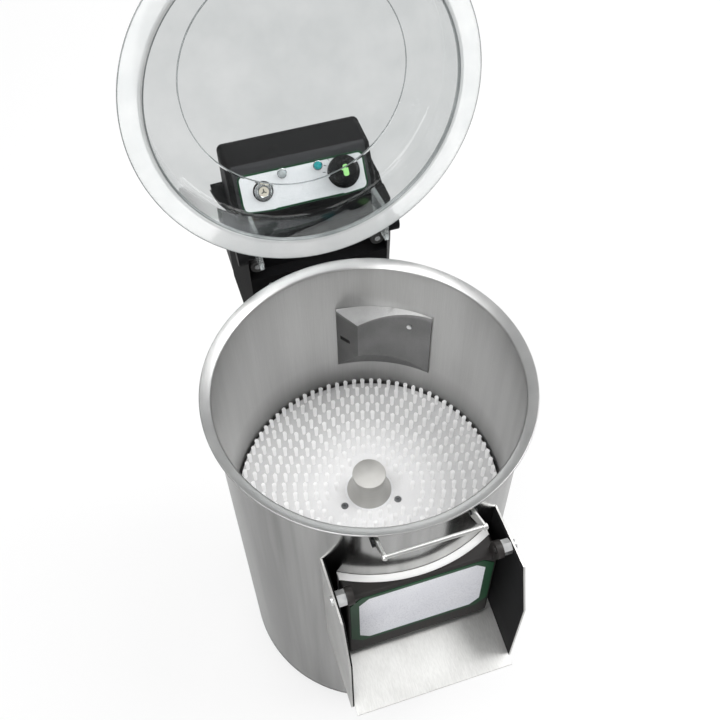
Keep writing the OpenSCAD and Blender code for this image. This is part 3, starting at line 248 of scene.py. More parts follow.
# The same moulding along the box's upper front edge, paler and glossier: a painted highlight
highlit_abs = worked("painted_highlight_edge_abs", "#2a2a2c", "#363638", (0.34, 0.42), (3, 1, 1), 0.004, IOR=1.53,
                    **{"Specular IOR Level": 0.3})
# The same plastic in the door, worn by the shells: a warmer, paler black
worn_abs = worked("worn_warm_black_abs", "#1d1b1a", "#282524", (0.42, 0.52), (0.8, 0.8, 0.8), 0.012,
                  cloud=80, IOR=1.53, **{"Specular IOR Level": 0.35})
# Phenolic moulding, buffed: deep black with clear highlights
buffed_phenolic = worked("buffed_black_phenolic", "#09090a", "#0f0f10", (0.2, 0.3), (2, 2, 2), 0.004,
                         IOR=1.6, **{"Specular IOR Level": 0.25})
# Black sheet lining, calendered: dull, with faint long streaks
calendered_lining = worked("calendered_black_sheet", "#111112", "#1a1a1b", (0.70, 0.80), (2, 30, 1.2),
                           0.01, IOR=1.5, **{"Specular IOR Level": 0.12})
# Polyethylene sheet, planed: milky white and waxy
planed_polyethylene = worked("planed_white_polyethylene", "#e3e4e6", "#f1f2f3", (0.42, 0.55),
                             (1.4, 18, 1.4), 0.02, cloud=50, IOR=1.51)
# The same plastic, skived and bright: the door's seal
skived_polyethylene = worked("skived_bright_polyethylene", "#fbfbfa", "#fefefd", (0.4, 0.5),
                             (18, 18, 1.4), 0.005, IOR=1.51)
# The same plastic, pressed: the disc's face, painted greyer from near the knob out towards the wall as
# painted shade
pressed_polyethylene = worked("pressed_grey_white_polyethylene", "#eeeeef", "#f6f6f6", (0.4, 0.5),
                              (1.6, 1.6, 1.6), 0.01, cloud=40, fade=((1, 1, 0), 45, 120, 0.88, 0.64),
                              IOR=1.51)
# Nylon filament, extruded: white, slightly glassy, with pale shade in the bundles
extruded_nylon = worked("extruded_white_nylon", "#fafafa", "#fefefe", (0.35, 0.5), (0.6, 0.6, 6), 0.01,
                        cloud=25, IOR=1.53)
# Rubber, compression moulded: soft black with a bloom
moulded_rubber = worked("moulded_black_rubber", "#1b1b1b", "#2a2a29", (0.6, 0.75), (1.1, 1.1, 1.1), 0.04)
# Copper tube, drawn and handled: warm, with dulled patches
drawn_copper = worked("drawn_copper_tube", "#a86a45", "#c98a5e", (0.25, 0.4), (2, 2, 12), 0.01,
                      Metallic=1.0)
# Polyamide switchgear, moulded: ivory with a light tooth
moulded_polyamide = worked("moulded_ivory_polyamide", "#bfb7a6", "#cfc8b9", (0.4, 0.5), (0.9, 0.9, 0.9),
                           0.02, IOR=1.53)
# Polyester overlay, printed on the back: white under a clear satin face
printed_white = worked("printed_white_polyester", "#dedfe2", "#e8e9eb", (0.25, 0.33), (1.6, 1.6, 1.6),
                       0.006, IOR=1.57)
# The same film printed silver: a cool pale grey
printed_silver = worked("printed_silver_polyester", "#d2d3da", "#dedfe4", (0.25, 0.33), (1.2, 1.2, 1.2),
                        0.002, IOR=1.57)
# The same film printed dark green
printed_green = worked("printed_green_polyester", "#0f3820", "#15472a", (0.3, 0.4), (1.6, 1.6, 1.6),
                       0.006, IOR=1.57, **{"Specular IOR Level": 0.2})
# Ink, screen printed: a matt black
printed_black = worked("printed_black_ink", "#1c1f20", "#2a2d2e", (0.35, 0.45), (0.9, 0.9, 0.9), 0.004)
# Marker insert, moulded in pale green: clean, with a light gloss
marker_green = worked("moulded_green_insert", "#9fe886", "#b4f29b", (0.28, 0.36), (1.2, 1.2, 1.2), 0.01,
                      IOR=1.5)
# Brass rings, chromed: a bright, slightly cool mirror
chromed_brass = worked("chromed_brass", "#cfd0d2", "#e2e3e4", (0.08, 0.16), (3, 3, 3), 0.003,
                       Metallic=1.0)
# Lens of tinted acrylic over a dark lamp: a deep glassy teal
teal_acrylic = worked("tinted_teal_acrylic", "#117a80", "#23a3a6", (0.08, 0.14), (4, 4, 4), 0.01, cloud=8,
                      IOR=1.49)
# The same acrylic undyed: a pale glassy dome
clear_acrylic = worked("clear_lens_acrylic", "#dfe5e6", "#f4f7f7", (0.04, 0.1), (4, 4, 4), 0.01, cloud=8,
                       IOR=1.49, **{"Transmission Weight": 0.7})
# Polycarbonate sheet, vacuum formed: water clear, with faint waves from the stretch
formed_polycarbonate = worked("formed_clear_polycarbonate", "#d4d7d7", "#e2e4e4", (0.01, 0.04),
                              (60, 60, 60), 0.01, cloud=400, IOR=1.58,
                              **{"Transmission Weight": 1.0, "Specular Tint": (0.25, 0.25, 0.25, 1)})
# The same sheet at its rim, drawn milky white: painted light for the light caught inside its edge
milky_polycarbonate = worked("milky_lit_rim_polycarbonate", "#e8eaea", "#f0f1f1", (0.08, 0.14),
                             (30, 30, 30), 0.01, IOR=1.58, **{"Transmission Weight": 0.6})
# Arms cut from the same sheet: clear, a little grey where light is lost in them
cut_polycarbonate = worked("cut_clear_polycarbonate", "#b4b8b8", "#c6caca", (0.08, 0.14), (30, 30, 30),
                           0.01, IOR=1.58, **{"Transmission Weight": 0.85})
# The sheet's sharp bends, its trimmed edge and the small step on its face, painted grey: painted shade where
# they turn the light aside
bent_polycarbonate = worked("bent_grey_polycarbonate", "#7f8484", "#959a9a", (0.06, 0.12), (30, 30, 30),
                            0.01, IOR=1.58, **{"Transmission Weight": 0.5})

FINISH_OF = {
    "tub_floor": brushed_stainless, "base_plate": brushed_stainless, "saddle_bracket": brushed_stainless,
    "rubber_feet": moulded_rubber, "foot_bolts": plated_steel, "drain_pipe": bright_stainless,
    "bearing_housing": blasted_casting, "bearing_bolts": plated_steel, "shaft_bearings": ground_steel,
    "shaft_seal": moulded_rubber, "main_shaft": ground_steel, "drive_hub": turned_aluminium,
    "driven_pulley": machined_iron, "drive_belt": moulded_rubber, "motor_pulley": machined_iron,
    "motor_shaft": ground_steel, "motor_body": motor_enamel, "motor_fan_cover": motor_enamel,
    "motor_terminal_box": grained_abs, "motor_plate": plated_steel, "motor_hangers": plated_steel,
    "brush_disc": planed_polyethylene, "disc_screws": passivated_stainless, "wall_deflector": worn_casting_lit_top,
    "deflector_screw": bright_zinc, "water_pipe": drawn_copper, "solenoid_valve": grained_abs,
    "rear_housing": grained_abs, "rear_cover": grained_abs, "cover_screws": plated_steel,
    "cable_gland": grained_abs, "contactor": moulded_polyamide, "timer_body": moulded_polyamide,
    "timer_shaft": ground_steel, "button_switch": grained_abs, "lid_arms": cut_polycarbonate,
    "hinge_pins": blackened_steel, "lid_bumpers": moulded_rubber, "chute_cheeks": satin_stainless,
    "cheek_liners": calendered_lining, "chute_tray": satin_stainless, "discharge_door": worn_abs,
    "door_seal": skived_polyethylene, "pivot_bolts": bright_zinc, "bail_lugs": blackened_steel,
}
for name, material in FINISH_OF.items():
    nodes[name].data.materials.clear()
    nodes[name].data.materials.append(material)


def dull_edges(name, width, angle=30):
    """Rounds the sharp edges of a solid by width mm, once its triangles are joined."""
    nodes[name].modifiers.new("joined", "WELD").merge_threshold = 0.01 * MM
    edge = nodes[name].modifiers.new("dulled_edges", "BEVEL")
    edge.width, edge.segments = width * MM, 3
    edge.limit_method, edge.angle_limit = "ANGLE", math.radians(angle)
    edge.harden_normals = True


EDGE_OF = {
    "wall_deflector": 2.5, "rear_housing": 1.0, "chute_cheeks": 0.3, "discharge_door": 0.6, "chute_tray": 0.3,
    "lid_arms": 0.6, "pivot_bolts": 0.6, "rear_cover": 0.5, "lid_bumpers": 1.0, "door_seal": 0.5,
}
for name, width in EDGE_OF.items():
    dull_edges(name, width)


def inset(outline, d):
    """A closed counter-clockwise outline moved inwards by d, its corners mitred."""
    edge = np.roll(outline, -1, axis=0) - outline
    normal = np.stack([-edge[:, 1], edge[:, 0]], axis=1) / np.linalg.norm(edge, axis=1, keepdims=True)
    before = np.roll(normal, 1, axis=0)
    share = 1 + np.sum(normal * before, axis=1, keepdims=True)
    return outline + d * (normal + before) / share


def layered(outline, layers):
    """A closed outline carried through layers of (inset, height); an inset of None draws it to its middle."""
    rings = [np.column_stack([np.tile(outline.mean(0), (len(outline), 1)) if d is None else inset(outline, d),
                              np.full(len(outline), z)]) for d, z in layers]
    rings = np.stack(rings)
    return np.concatenate([rings, rings[:, :1]], axis=1)


def round_box(w, h, r, steps=8):
    """Outline of a w by h rectangle whose corners are quarter circles of radius r."""
    a = np.linspace(0, math.pi / 2, steps)
    arc = np.column_stack([np.cos(a), np.sin(a)]) * r
    turn = [np.array([[math.cos(t), math.sin(t)], [-math.sin(t), math.cos(t)]])
            for t in np.arange(4) * math.pi / 2]
    middle = np.array([[1, 1], [-1, 1], [-1, -1], [1, -1]]) * [w / 2 - r, h / 2 - r]
    return np.concatenate([arc @ turn[k] + middle[k] for k in range(4)])


def circle(r, steps=64):
    """Outline of a circle."""
    a = np.arange(steps) * 2 * math.pi / steps
    return np.column_stack([np.cos(a), np.sin(a)]) * r


def strap(a, b, d, steps=24):
    """Outline of two circles of radius a and b, d apart along x, joined by their outer tangents."""
    t = math.acos((a - b) / d)
    near = np.linspace(t, 2 * math.pi - t, steps)
    far = np.linspace(-t, t, steps)
    return np.concatenate([np.column_stack([np.cos(near), np.sin(near)]) * a,
                           np.column_stack([np.cos(far), np.sin(far)]) * b + [d, 0]])


def carried(profile, turns):
    """A profile of (radius, height) points carried about the z axis to each of the turns, in radians."""
    r, z = np.asarray(profile, float).T
    x, y = np.outer(np.cos(turns), r), np.outer(np.sin(turns), r)
    return np.stack([x, y, np.tile(z, (len(turns), 1))], axis=-1)


def revolve(profile, steps=96):
    """A profile of (radius, height) points turned once about the z axis."""
    return carried(profile, np.linspace(0, 2 * math.pi, steps + 1))


def arc(centre, r, start, stop, steps=8):
    """Points of a circular arc in the plane of a profile, between two angles in degrees."""
    a = np.radians(np.linspace(start, stop, steps))
    return np.column_stack([centre[0] + r * np.cos(a), centre[1] + r * np.sin(a)])


def rounded_hull(centres, r, low, steps):
    """Skin stretched over equal balls: along each direction, the furthest centre plus r times the direction.

    Directions run over a sphere, and nothing goes below the height low.
    """
    a = np.linspace(0, 2 * math.pi, steps[0] + 1)[:, None]
    b = np.linspace(-math.pi / 2, math.pi / 2, steps[1] + 1)[None, :]
    way = np.stack([np.cos(a) * np.cos(b), np.sin(a) * np.cos(b), np.sin(b) + 0 * a], axis=-1)
    centres = np.asarray(centres, float)
    points = centres[np.argmax(way @ centres.T, axis=-1)] + r * way
    points[..., 2] = np.maximum(points[..., 2], low)
    return points


def stand(points, origin, across, up):
    """Local x, y and z turned to the directions across, up and their cross product, from an origin."""
    across, up = np.asarray(across, float), np.asarray(up, float)
    axes = np.stack([across, up, np.cross(across, up)])
    return points @ axes + np.asarray(origin, float)


def on_panel(points, x=0.0, s=0.0, out=0.0):
    """Local points set on the control panel: x along it, y up its slope, z out of it."""
    up = np.array([0, math.cos(PANEL_SLOPE), math.sin(PANEL_SLOPE)])
    face = np.array([0, -math.sin(PANEL_SLOPE), math.cos(PANEL_SLOPE)])
    return stand(points, np.array([x, PANEL_Y, PANEL_Z]) - s * up + out * face, [1, 0, 0], up)


def on_door(points, s=0.0):
    """Local points set on the door's front: x along it, y up, z out of it, s down from its top edge."""
    up = np.array([0, math.sin(DOOR_TILT), math.cos(DOOR_TILT)])
    return stand(points, np.array([0, DOOR_Y, DOOR_TOP]) - s * up, [1, 0, 0], up)


def opened(points):
    """Points of the closed lid turned open about its hinge axis."""
    c, s = math.cos(-LID_OPEN), math.sin(-LID_OPEN)
    y, z = points[..., 1] - HINGE[0], points[..., 2] - HINGE[1]
    return np.stack([points[..., 0], HINGE[0] + y * c - z * s, HINGE[1] + y * s + z * c], axis=-1)


def quads_of(grid, base=0):
    """Corner numbers, counted from base, of the quads between the neighbouring points of a grid."""
    at = base + np.arange(grid.shape[0] * grid.shape[1]).reshape(grid.shape[:2])
    return np.stack([at[:-1, :-1], at[1:, :-1], at[1:, 1:], at[:-1, 1:]], axis=-1)


def piece(name, skins, body, materials, replaces=(), crease=35, closed=True):
    """One mesh from skins of (grid of points, material number or one a cell, mask of cells left open).

    Neighbouring points make quads. Doubles are merged, a closed shape's faces are turned outwards, and
    edges sharper than crease degrees stay sharp.
    """
    points, quads, numbers, base = [], [], [], 0
    for skin in skins:
        given = skin if isinstance(skin, tuple) else (skin,)
        grid, number, hole = (*given, *(0, None)[len(given) - 1 :])
        cells = quads_of(grid, base)
        cells = cells.reshape(-1, 4) if hole is None else cells[~hole]
        points.append(grid.reshape(-1, 3))
        quads.append(cells)
        numbers.append(np.full(len(cells), number))
        base += len(points[-1])
    mesh = bpy.data.meshes.new(name)
    mesh.from_pydata((np.concatenate(points) * MM).tolist(), [], np.concatenate(quads).tolist())
    mesh.polygons.foreach_set("material_index", np.concatenate(numbers).astype(np.int32))
    work = bmesh.new()
    work.from_mesh(mesh)
    bmesh.ops.remove_doubles(work, verts=work.verts, dist=1e-6)
    bmesh.ops.dissolve_degenerate(work, edges=work.edges, dist=1e-7)
    if closed:
        bmesh.ops.recalc_face_normals(work, faces=work.faces)
    work.to_mesh(mesh)
    work.free()
    mesh.polygons.foreach_set("use_smooth", np.ones(len(mesh.polygons), bool))
    mesh.set_sharp_from_angle(angle=math.radians(crease))
    obj = bpy.data.objects.new(name, mesh)
    bpy.context.scene.collection.objects.link(obj)
    for material in materials:
        mesh.materials.append(material)
    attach(obj, body)
    if replaces:
        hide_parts(*replaces)
    return obj


def make_tub():
    """The tub's sheet: wall, bend and flared lip turned about the axis, the port's cells left open."""
    port_steps, wall_steps, bend_points, lip_points, dulled = 24, 224, 9, 6, 0.5
    bend_z = LIP_EDGE[1] - LIP_BEND * math.cos(LIP_SLOPE)
    bend_end = TUB_MID_R + LIP_BEND * (1 - math.sin(LIP_SLOPE))
    bend_z -= (LIP_EDGE[0] - bend_end) * math.tan(LIP_SLOPE)
    # Heights of the rows of points up the wall
    wall = [SKIRT_Z, 60, 120, 200, 280, PORT_Z[0], 385, 413, 441, PORT_Z[1], 500, 540, 580, 596]
    bend = arc((TUB_MID_R + LIP_BEND, bend_z), LIP_BEND, 180, 90 + math.degrees(LIP_SLOPE),
               bend_points)
    profile = np.concatenate([[[TUB_MID_R, z] for z in wall], bend, [LIP_EDGE]])
    half = math.asin(PORT_HALF / TUB_MID_R)
    front = -math.pi / 2
    turns = np.concatenate([np.linspace(front - half, front + half, port_steps + 1),
                            np.linspace(front + half, front - half + 2 * math.pi, wall_steps + 1)[1:]])
    grid = carried(profile, turns)
    low, high = wall.index(PORT_Z[0]), wall.index(PORT_Z[1])
    hole = np.zeros((len(turns) - 1, len(profile) - 1), bool)
    hole[:port_steps, low:high] = True
    # The lip's finish starts inside the bend and takes the profile's last points
    lip = len(profile) - lip_points
    tub = piece("tub_wall", [(grid[:, : lip + 1], 0, hole[:, :lip]), (grid[:, lip:], 2)], "machine",
                [bright_stainless, brushed_stainless, bright_stainless, buffed_stainless],
                ["tub_shell"], crease=60, closed=False)
    sheet = tub.modifiers.new("sheet", "SOLIDIFY")
    sheet.thickness, sheet.offset = SHEET * MM, 0
    sheet.material_offset, sheet.material_offset_rim = 1, 1
    edge = tub.modifiers.new("dulled_edge", "BEVEL")
    edge.width, edge.segments = dulled * MM, 2
    edge.limit_method, edge.angle_limit = "ANGLE", math.radians(60)


def make_tufts():
    """Tufts in rings, none by a screw: each is a bundle of three-sided filaments that spread to the tip.

    A filament's centre line runs from foot to tip, bending out as the height's share to the power 1.6.
    """
    strand_in, tuft_lean, strand_lean, uneven, sunk = 0.7, 0.3, 0.12, 0.7, 0.4
    rng = np.random.default_rng(7)
    places = []
    for row, r in enumerate(TUFT_ROWS):
        count = round(2 * math.pi * r / (EDGE_PITCH if r == TUFT_ROWS[-1] else TUFT_PITCH))
        a = STAGGER_TURN + (np.arange(count) + row / 2) * 2 * math.pi / count
        places.append(np.column_stack([np.cos(a), np.sin(a)]) * r)
    places = np.concatenate(places)
    turns = np.radians(SCREW_TURNS)
    screws = np.column_stack([np.cos(turns), np.sin(turns)]) * SCREW_R
    places = places[(np.linalg.norm(places[:, None] - screws, axis=2) > SCREW_CLEAR).all(axis=1)]
    # A bundle's filaments, as shares of its radius: one in the middle, four about it and eight outside
    ring = np.concatenate([[[0, 0]], circle(0.55, 4), circle(1, 8)])
    tufts, strands = len(places), len(ring)
    turn = rng.uniform(0, 2 * math.pi, (tufts, 1))
    spread = np.stack([np.cos(turn) * ring[:, 0] - np.sin(turn) * ring[:, 1],
                       np.sin(turn) * ring[:, 0] + np.cos(turn) * ring[:, 1]], axis=-1)
    foot = places[:, None] + spread * (TUFT_R - strand_in)
    lean = rng.normal(0, tuft_lean, (tufts, 1, 2)) + rng.normal(0, strand_lean, (tufts, strands, 2))
    tip = foot + spread * (TUFT_TIP_R - TUFT_R) + lean
    height = TUFT_H - rng.uniform(0, uneven, (tufts, strands))
    # A filament's three rings of points: shares of its height, and radii
    levels = np.array([0.0, 0.55, 1.0])
    thick = np.array([0.8, 0.9, 1.0])
    corner = circle(1, 3)
    centre = foot[:, :, None] + (tip - foot)[:, :, None] * (levels ** 1.6)[:, None]
    xy = centre[:, :, :, None] + thick[:, None, None] * corner
    z = DISC_TOP - sunk + (height + sunk)[:, :, None, None] * levels[:, None] + np.zeros(3)
    points = np.concatenate([xy, z[..., None]], axis=-1).reshape(-1, 9, 3)
    side = np.array([[k + j, k + (j + 1) % 3, k + 3 + (j + 1) % 3, k + 3 + j]
                     for k in (0, 3) for j in range(3)])
    base = np.arange(len(points))[:, None, None] * 9
    mesh = bpy.data.meshes.new("nylon_tufts")
    faces = (side + base).reshape(-1, 4).tolist() + (np.array([[6, 7, 8]]) + base).reshape(-1, 3).tolist()
    mesh.from_pydata((points.reshape(-1, 3) * MM).tolist(), [], faces)
    # Light soaks through the filaments: they cast no shadow, and their shading leans towards straight up
    side_share = 0.35
    shading = np.column_stack([np.tile(corner, (3, 1)) * side_share, np.ones(9)])
    shading /= np.linalg.norm(shading, axis=1, keepdims=True)
    mesh.polygons.foreach_set("use_smooth", np.ones(len(mesh.polygons), bool))
    mesh.normals_split_custom_set_from_vertices(np.tile(shading, (len(points), 1)).tolist())
    mesh.materials.append(extruded_nylon)
    tuft = bpy.data.objects.new("nylon_tufts", mesh)
    bpy.context.scene.collection.objects.link(tuft)
    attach(tuft, "disc")
    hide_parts("bristles")
    tuft.visible_shadow = False


def make_tuft_bed():
    """The bed under the tufts: a flat ring with a thin edge and, in its inner band, a hole over each screw.

    Round each hole a patch runs from the hole's circle straight out to the edge of a sector of the band.
    """
    band = BED_IN + 2 * (SCREW_R - BED_IN)
    low, reach, steps, turn_step, dulled = DISC_TOP - BED_T, 20, 16, 2.5, 0.8
    apart = 360 / len(SCREW_TURNS)

    def polar(r, turn):
        """Points of a grid from its radii and its turns in degrees."""
        r, turn = np.broadcast_arrays(r, np.radians(turn))
        return np.stack([r * np.cos(turn), r * np.sin(turn)], axis=-1)

    def raised(flat, z):
        """Flat points set at a height."""
        z = np.broadcast_to(np.asarray(z, float)[..., None], (*flat.shape[:2], 1))
        return np.concatenate([flat, z], axis=-1)

    whole = np.arange(0, 361, turn_step)[:, None]
    edge = np.array([[DISC_R, low], [DISC_R, DISC_TOP - dulled], [DISC_R - dulled, DISC_TOP]])
    skins = [raised(polar(edge[:, 0], whole), edge[:, 1]),
             raised(polar(np.full(2, BED_IN), whole), np.array([low, DISC_TOP]))]
    for z, rim in ((DISC_TOP, DISC_R - dulled), (low, DISC_R)):
        skins.append(raised(polar(np.linspace(band, rim, 12), whole), z))
    across = np.linspace(-reach, reach, steps + 1)
    up = np.linspace(BED_IN, band, 5)
    for turn in SCREW_TURNS:
        around = np.concatenate([polar(band, turn + across), polar(up[::-1][1:-1], turn + reach),
                                 polar(BED_IN, turn - across), polar(up[1:-1], turn - reach)])
        around = np.concatenate([around, around[:1]])
        middle = polar(SCREW_R, turn)
        ray = around - middle
        hole = middle + SCREW_SINK_R * ray / np.linalg.norm(ray, axis=1, keepdims=True)
        patch = hole[:, None] + (around - hole)[:, None] * np.linspace(0, 1, 4)[:, None]
        plain = polar(up, np.arange(turn + reach, turn + apart - reach + 1, turn_step)[:, None])
        for z in (DISC_TOP, low):
            skins += [raised(patch, z), raised(plain, z)]
        skins.append(raised(np.stack([hole, hole], axis=1), np.array([low, DISC_TOP])))
    piece("tuft_bed", skins, "disc", [pressed_polyethylene], crease=40)


def make_disc_knob():
    """The disc's knob: a flat cap on a concave flare, turned about the axis.

    Up the flare, the radius falls from the foot to the neck by the height left to the power 2.4.
    """
    foot_h, cap_h, neck_gap, under, dulled, corner = 1.2, 7, 0.5, 1, 0.8, 0.25
    t = np.linspace(0, 1, 18)
    low, high = DISC_TOP + foot_h, KNOB_TOP - cap_h - neck_gap
    flare = np.column_stack([KNOB_NECK_R + (KNOB_BASE_R - KNOB_NECK_R) * (1 - t) ** 2.4,
                             low + (high - low) * t])
    cap = [[KNOB_TOP_R - under, KNOB_TOP - cap_h], [KNOB_TOP_R, KNOB_TOP - cap_h + under],
           [KNOB_TOP_R, KNOB_TOP - dulled], [KNOB_TOP_R - corner, KNOB_TOP - corner],
           [KNOB_TOP_R - dulled, KNOB_TOP], [0, KNOB_TOP]]
    profile = np.concatenate([[[0, DISC_TOP], [KNOB_BASE_R, DISC_TOP]], flare, cap])
    piece("disc_handle", [revolve(profile, 128)], "disc", [turned_aluminium],
          ["disc_knob"])


def make_lid():
    """The lid's pan: a section of clear wall, grey bends and milky rim, turned about its axis and opened.

    The section runs from the middle of the outside over the rim and back to the middle of the inside.
    """
    top = LID_Z + PAN_DEPTH
    inner = PAN_R - LID_WALL
    root_out, root_in, rise, edge_up, edge_low = 3, 2, 1, 1.5, 1.2
    # The step's first and last points along a flat
    first, last = 3, 9

    def face(z, stop):
        """A flat from the middle out to stop, lower by a small smooth step past the step's radius."""
        r = np.concatenate([[0, 40, 90], STEP_R + np.linspace(-1, 1, 7), [stop - 12, stop - 6]])
        t = np.clip((r - STEP_R) / 2 + 0.5, 0, 1)
        return np.column_stack([r, z - STEP_H * t * t * (3 - 2 * t)])

    outside = face(top, PAN_R - PAN_ROUND)
    inside = face(top - LID_WALL, PAN_R - PAN_ROUND)[::-1]
    wall_out = [PAN_R, LID_Z + LID_WALL + (root_out + rise)]
    wall_in = [inner, LID_Z + (root_in + rise)]
    bend_out = arc((PAN_R + root_out, LID_Z + LID_WALL + root_out), root_out, 180, 270, 6)
    bend_in = arc((inner + root_in, LID_Z + root_in), root_in, 270, 180, 5)
    edge = np.concatenate([arc((LID_R - edge_up, LID_Z + LID_WALL - edge_up), edge_up, 90, 0, 5),
                           arc((LID_R - edge_low, LID_Z + edge_low), edge_low, 0, -90, 5)])
    corner_out = arc((PAN_R - PAN_ROUND, top - STEP_H - PAN_ROUND), PAN_ROUND, 90, 0, 10)
    corner_in = arc((inner - PAN_ROUND + LID_WALL, top - STEP_H - PAN_ROUND), PAN_ROUND - LID_WALL, 0, 90, 10)
    clear, milky, bent = range(3)
    profiles = (
        (outside[: first + 1], clear),
        (outside[first : last + 1], bent),
        (np.concatenate([outside[last:], corner_out, [wall_out]]), clear),
        (np.concatenate([[wall_out], bend_out]), bent),
        (np.stack([bend_out[-1], edge[0]]), milky),
        (edge, bent),
        (np.stack([edge[-1], bend_in[0]]), milky),
        (np.concatenate([bend_in, [wall_in]]), bent),
        (np.concatenate([[wall_in], corner_in, inside]), clear),
    )
    lid = piece("lid_shell", [(opened(revolve(p, 192)), n) for p, n in profiles], "lid",
                [formed_polycarbonate, milky_polycarbonate, bent_polycarbonate], ["lid_pan"],
                crease=50)
    for see_through in (lid, nodes["lid_arms"]):
        see_through.visible_shadow = False


def make_control_box():
    """The control box: a skin over ten corner balls, flat on the deck, with a painted highlight on its top
    front edge.
    """
    half = BOX_HALF - BOX_ROUND
    top_y = PANEL_Y + BOX_ROUND * math.tan(PANEL_SLOPE / 2)
    top_z = PANEL_Z - BOX_ROUND
    front_y = BOX_FRONT + BOX_ROUND
    front_z = top_z - (top_y - front_y) * math.tan(PANEL_SLOPE)
    back_y = BOX_BACK - BOX_ROUND
    side = [(front_y, front_z), (top_y, top_z), (back_y, top_z), (front_y, DECK_Z), (back_y, DECK_Z)]
    around, over = 128, 64
    centres = [(x, y, z) for x in (-half, half) for y, z in side]
    skin = rounded_hull(centres, BOX_ROUND, DECK_Z, (around, over))
    turn, rise = np.meshgrid(np.arange(around) + 0.5, np.arange(over) + 0.5, indexing="ij")
    front = around * 3 / 4
    # Cells along the upper front edge take the paler ABS: a painted highlight
    highlight_band = (np.abs(turn - front) < 1) & (rise > over * (180 - math.degrees(PANEL_SLOPE)) / 180)
    box = piece("control_case", [(skin, highlight_band.ravel())], "machine", [grained_abs, highlit_abs],
                ["control_box"], crease=40)
    box.modifiers.new("flat_faces", "WEIGHTED_NORMAL").keep_sharp = True


def make_control_label():
    """The control label: a rounded film with a printed border, and short ticks round the timer knob."""
    outline = round_box(2 * LABEL["half"], LABEL["h"], LABEL["corner"])
    t, b = LABEL["t"], LABEL["border"]
    s = LABEL["s"] + LABEL["h"] / 2
    border = on_panel(layered(outline, [(None, FILM_GAP), (0, FILM_GAP), (0, t - FILM_EASE), (FILM_EASE, t),
                                        (b, t)]), 0, s)
    field = on_panel(layered(outline, [(b, t), (None, t)]), 0, s)
    piece("control_overlay", [(border, 0), (field, 1)], "machine", [printed_green, printed_white],
          ["control_label"])
    ticks = []
    for a in np.radians(TICK["turns"]):
        bar = layered(round_box(TICK["w"], TICK["h"], TICK["corner"], 3),
                      [(0, FILM_GAP), (0, TICK["t"]), (None, TICK["t"])])
        across = np.array([math.cos(a), math.sin(a), 0])
        spot = stand(bar, across * (DIAL["r"] + TICK["w"]), across, [-across[1], across[0], 0])
        ticks.append(on_panel(spot, DIAL["x"], DIAL["s"], t))
    piece("dial_ticks", ticks, "machine", [printed_black], closed=False)


def make_timer_knob():
    """The timer knob: a skirt and a fluted grip, and a marker let into its top.

    The grip's radius is waved by the sine of nine times the turn, fading out at the skirt and the top.
    """
    r, g, h, k = DIAL["r"], DIAL["grip"], DIAL["h"], DIAL["skirt"]
    steps, flutes, flute_depth, blunt = 160, 9, 0.022, 0.7
    profile = np.concatenate([
        [[0, 0], [r - 0.6, 0]], arc((r - 0.6, 0.6), 0.6, -90, 0, 3), arc((r - 1.6, k - 1.6), 1.6, 0, 80, 5),
        [[g + 2.4, k + 0.3]], arc((g + 2.6, k + 1.9), 1.6, 262, 185, 5),
        np.column_stack([np.linspace(g + 0.9, g - 0.5, 6), np.linspace(k + 2.5, h - 2.2, 6)]),
        arc((g - 2.5, h - 2), 2, 5, 90, 6), [[g - 6, h], [0, h]]])
    grid = revolve(profile, steps)
    z = grid[..., 2]
    grip = np.clip((z - k - 1.5) / 2, 0, 1) * np.clip((h + 0.6 - z) / 2.5, 0, 1)
    turn = np.linspace(0, 2 * math.pi, steps + 1)[:, None]
    wave = 1 - flute_depth * grip * np.abs(np.sin(turn * flutes)) ** blunt
    grid[..., :2] *= wave[..., None]
    piece("timer_grip", [on_panel(grid, DIAL["x"], DIAL["s"], DIAL["lift"])], "dial", [buffed_phenolic],
          ["timer_knob"])
    e = MARKER["ease"]
    bar = layered(round_box(MARKER["w"], MARKER["h"], MARKER["corner"]),
                  [(None, h - e), (0, h - e), (0, h + e), (e, h + 2 * e), (None, h + MARKER["crown"])])
    bar[..., 1] += MARKER["off"]
    piece("timer_marker", [on_panel(bar, DIAL["x"], DIAL["s"], DIAL["lift"])], "dial", [marker_green],
          ["knob_pointer"])


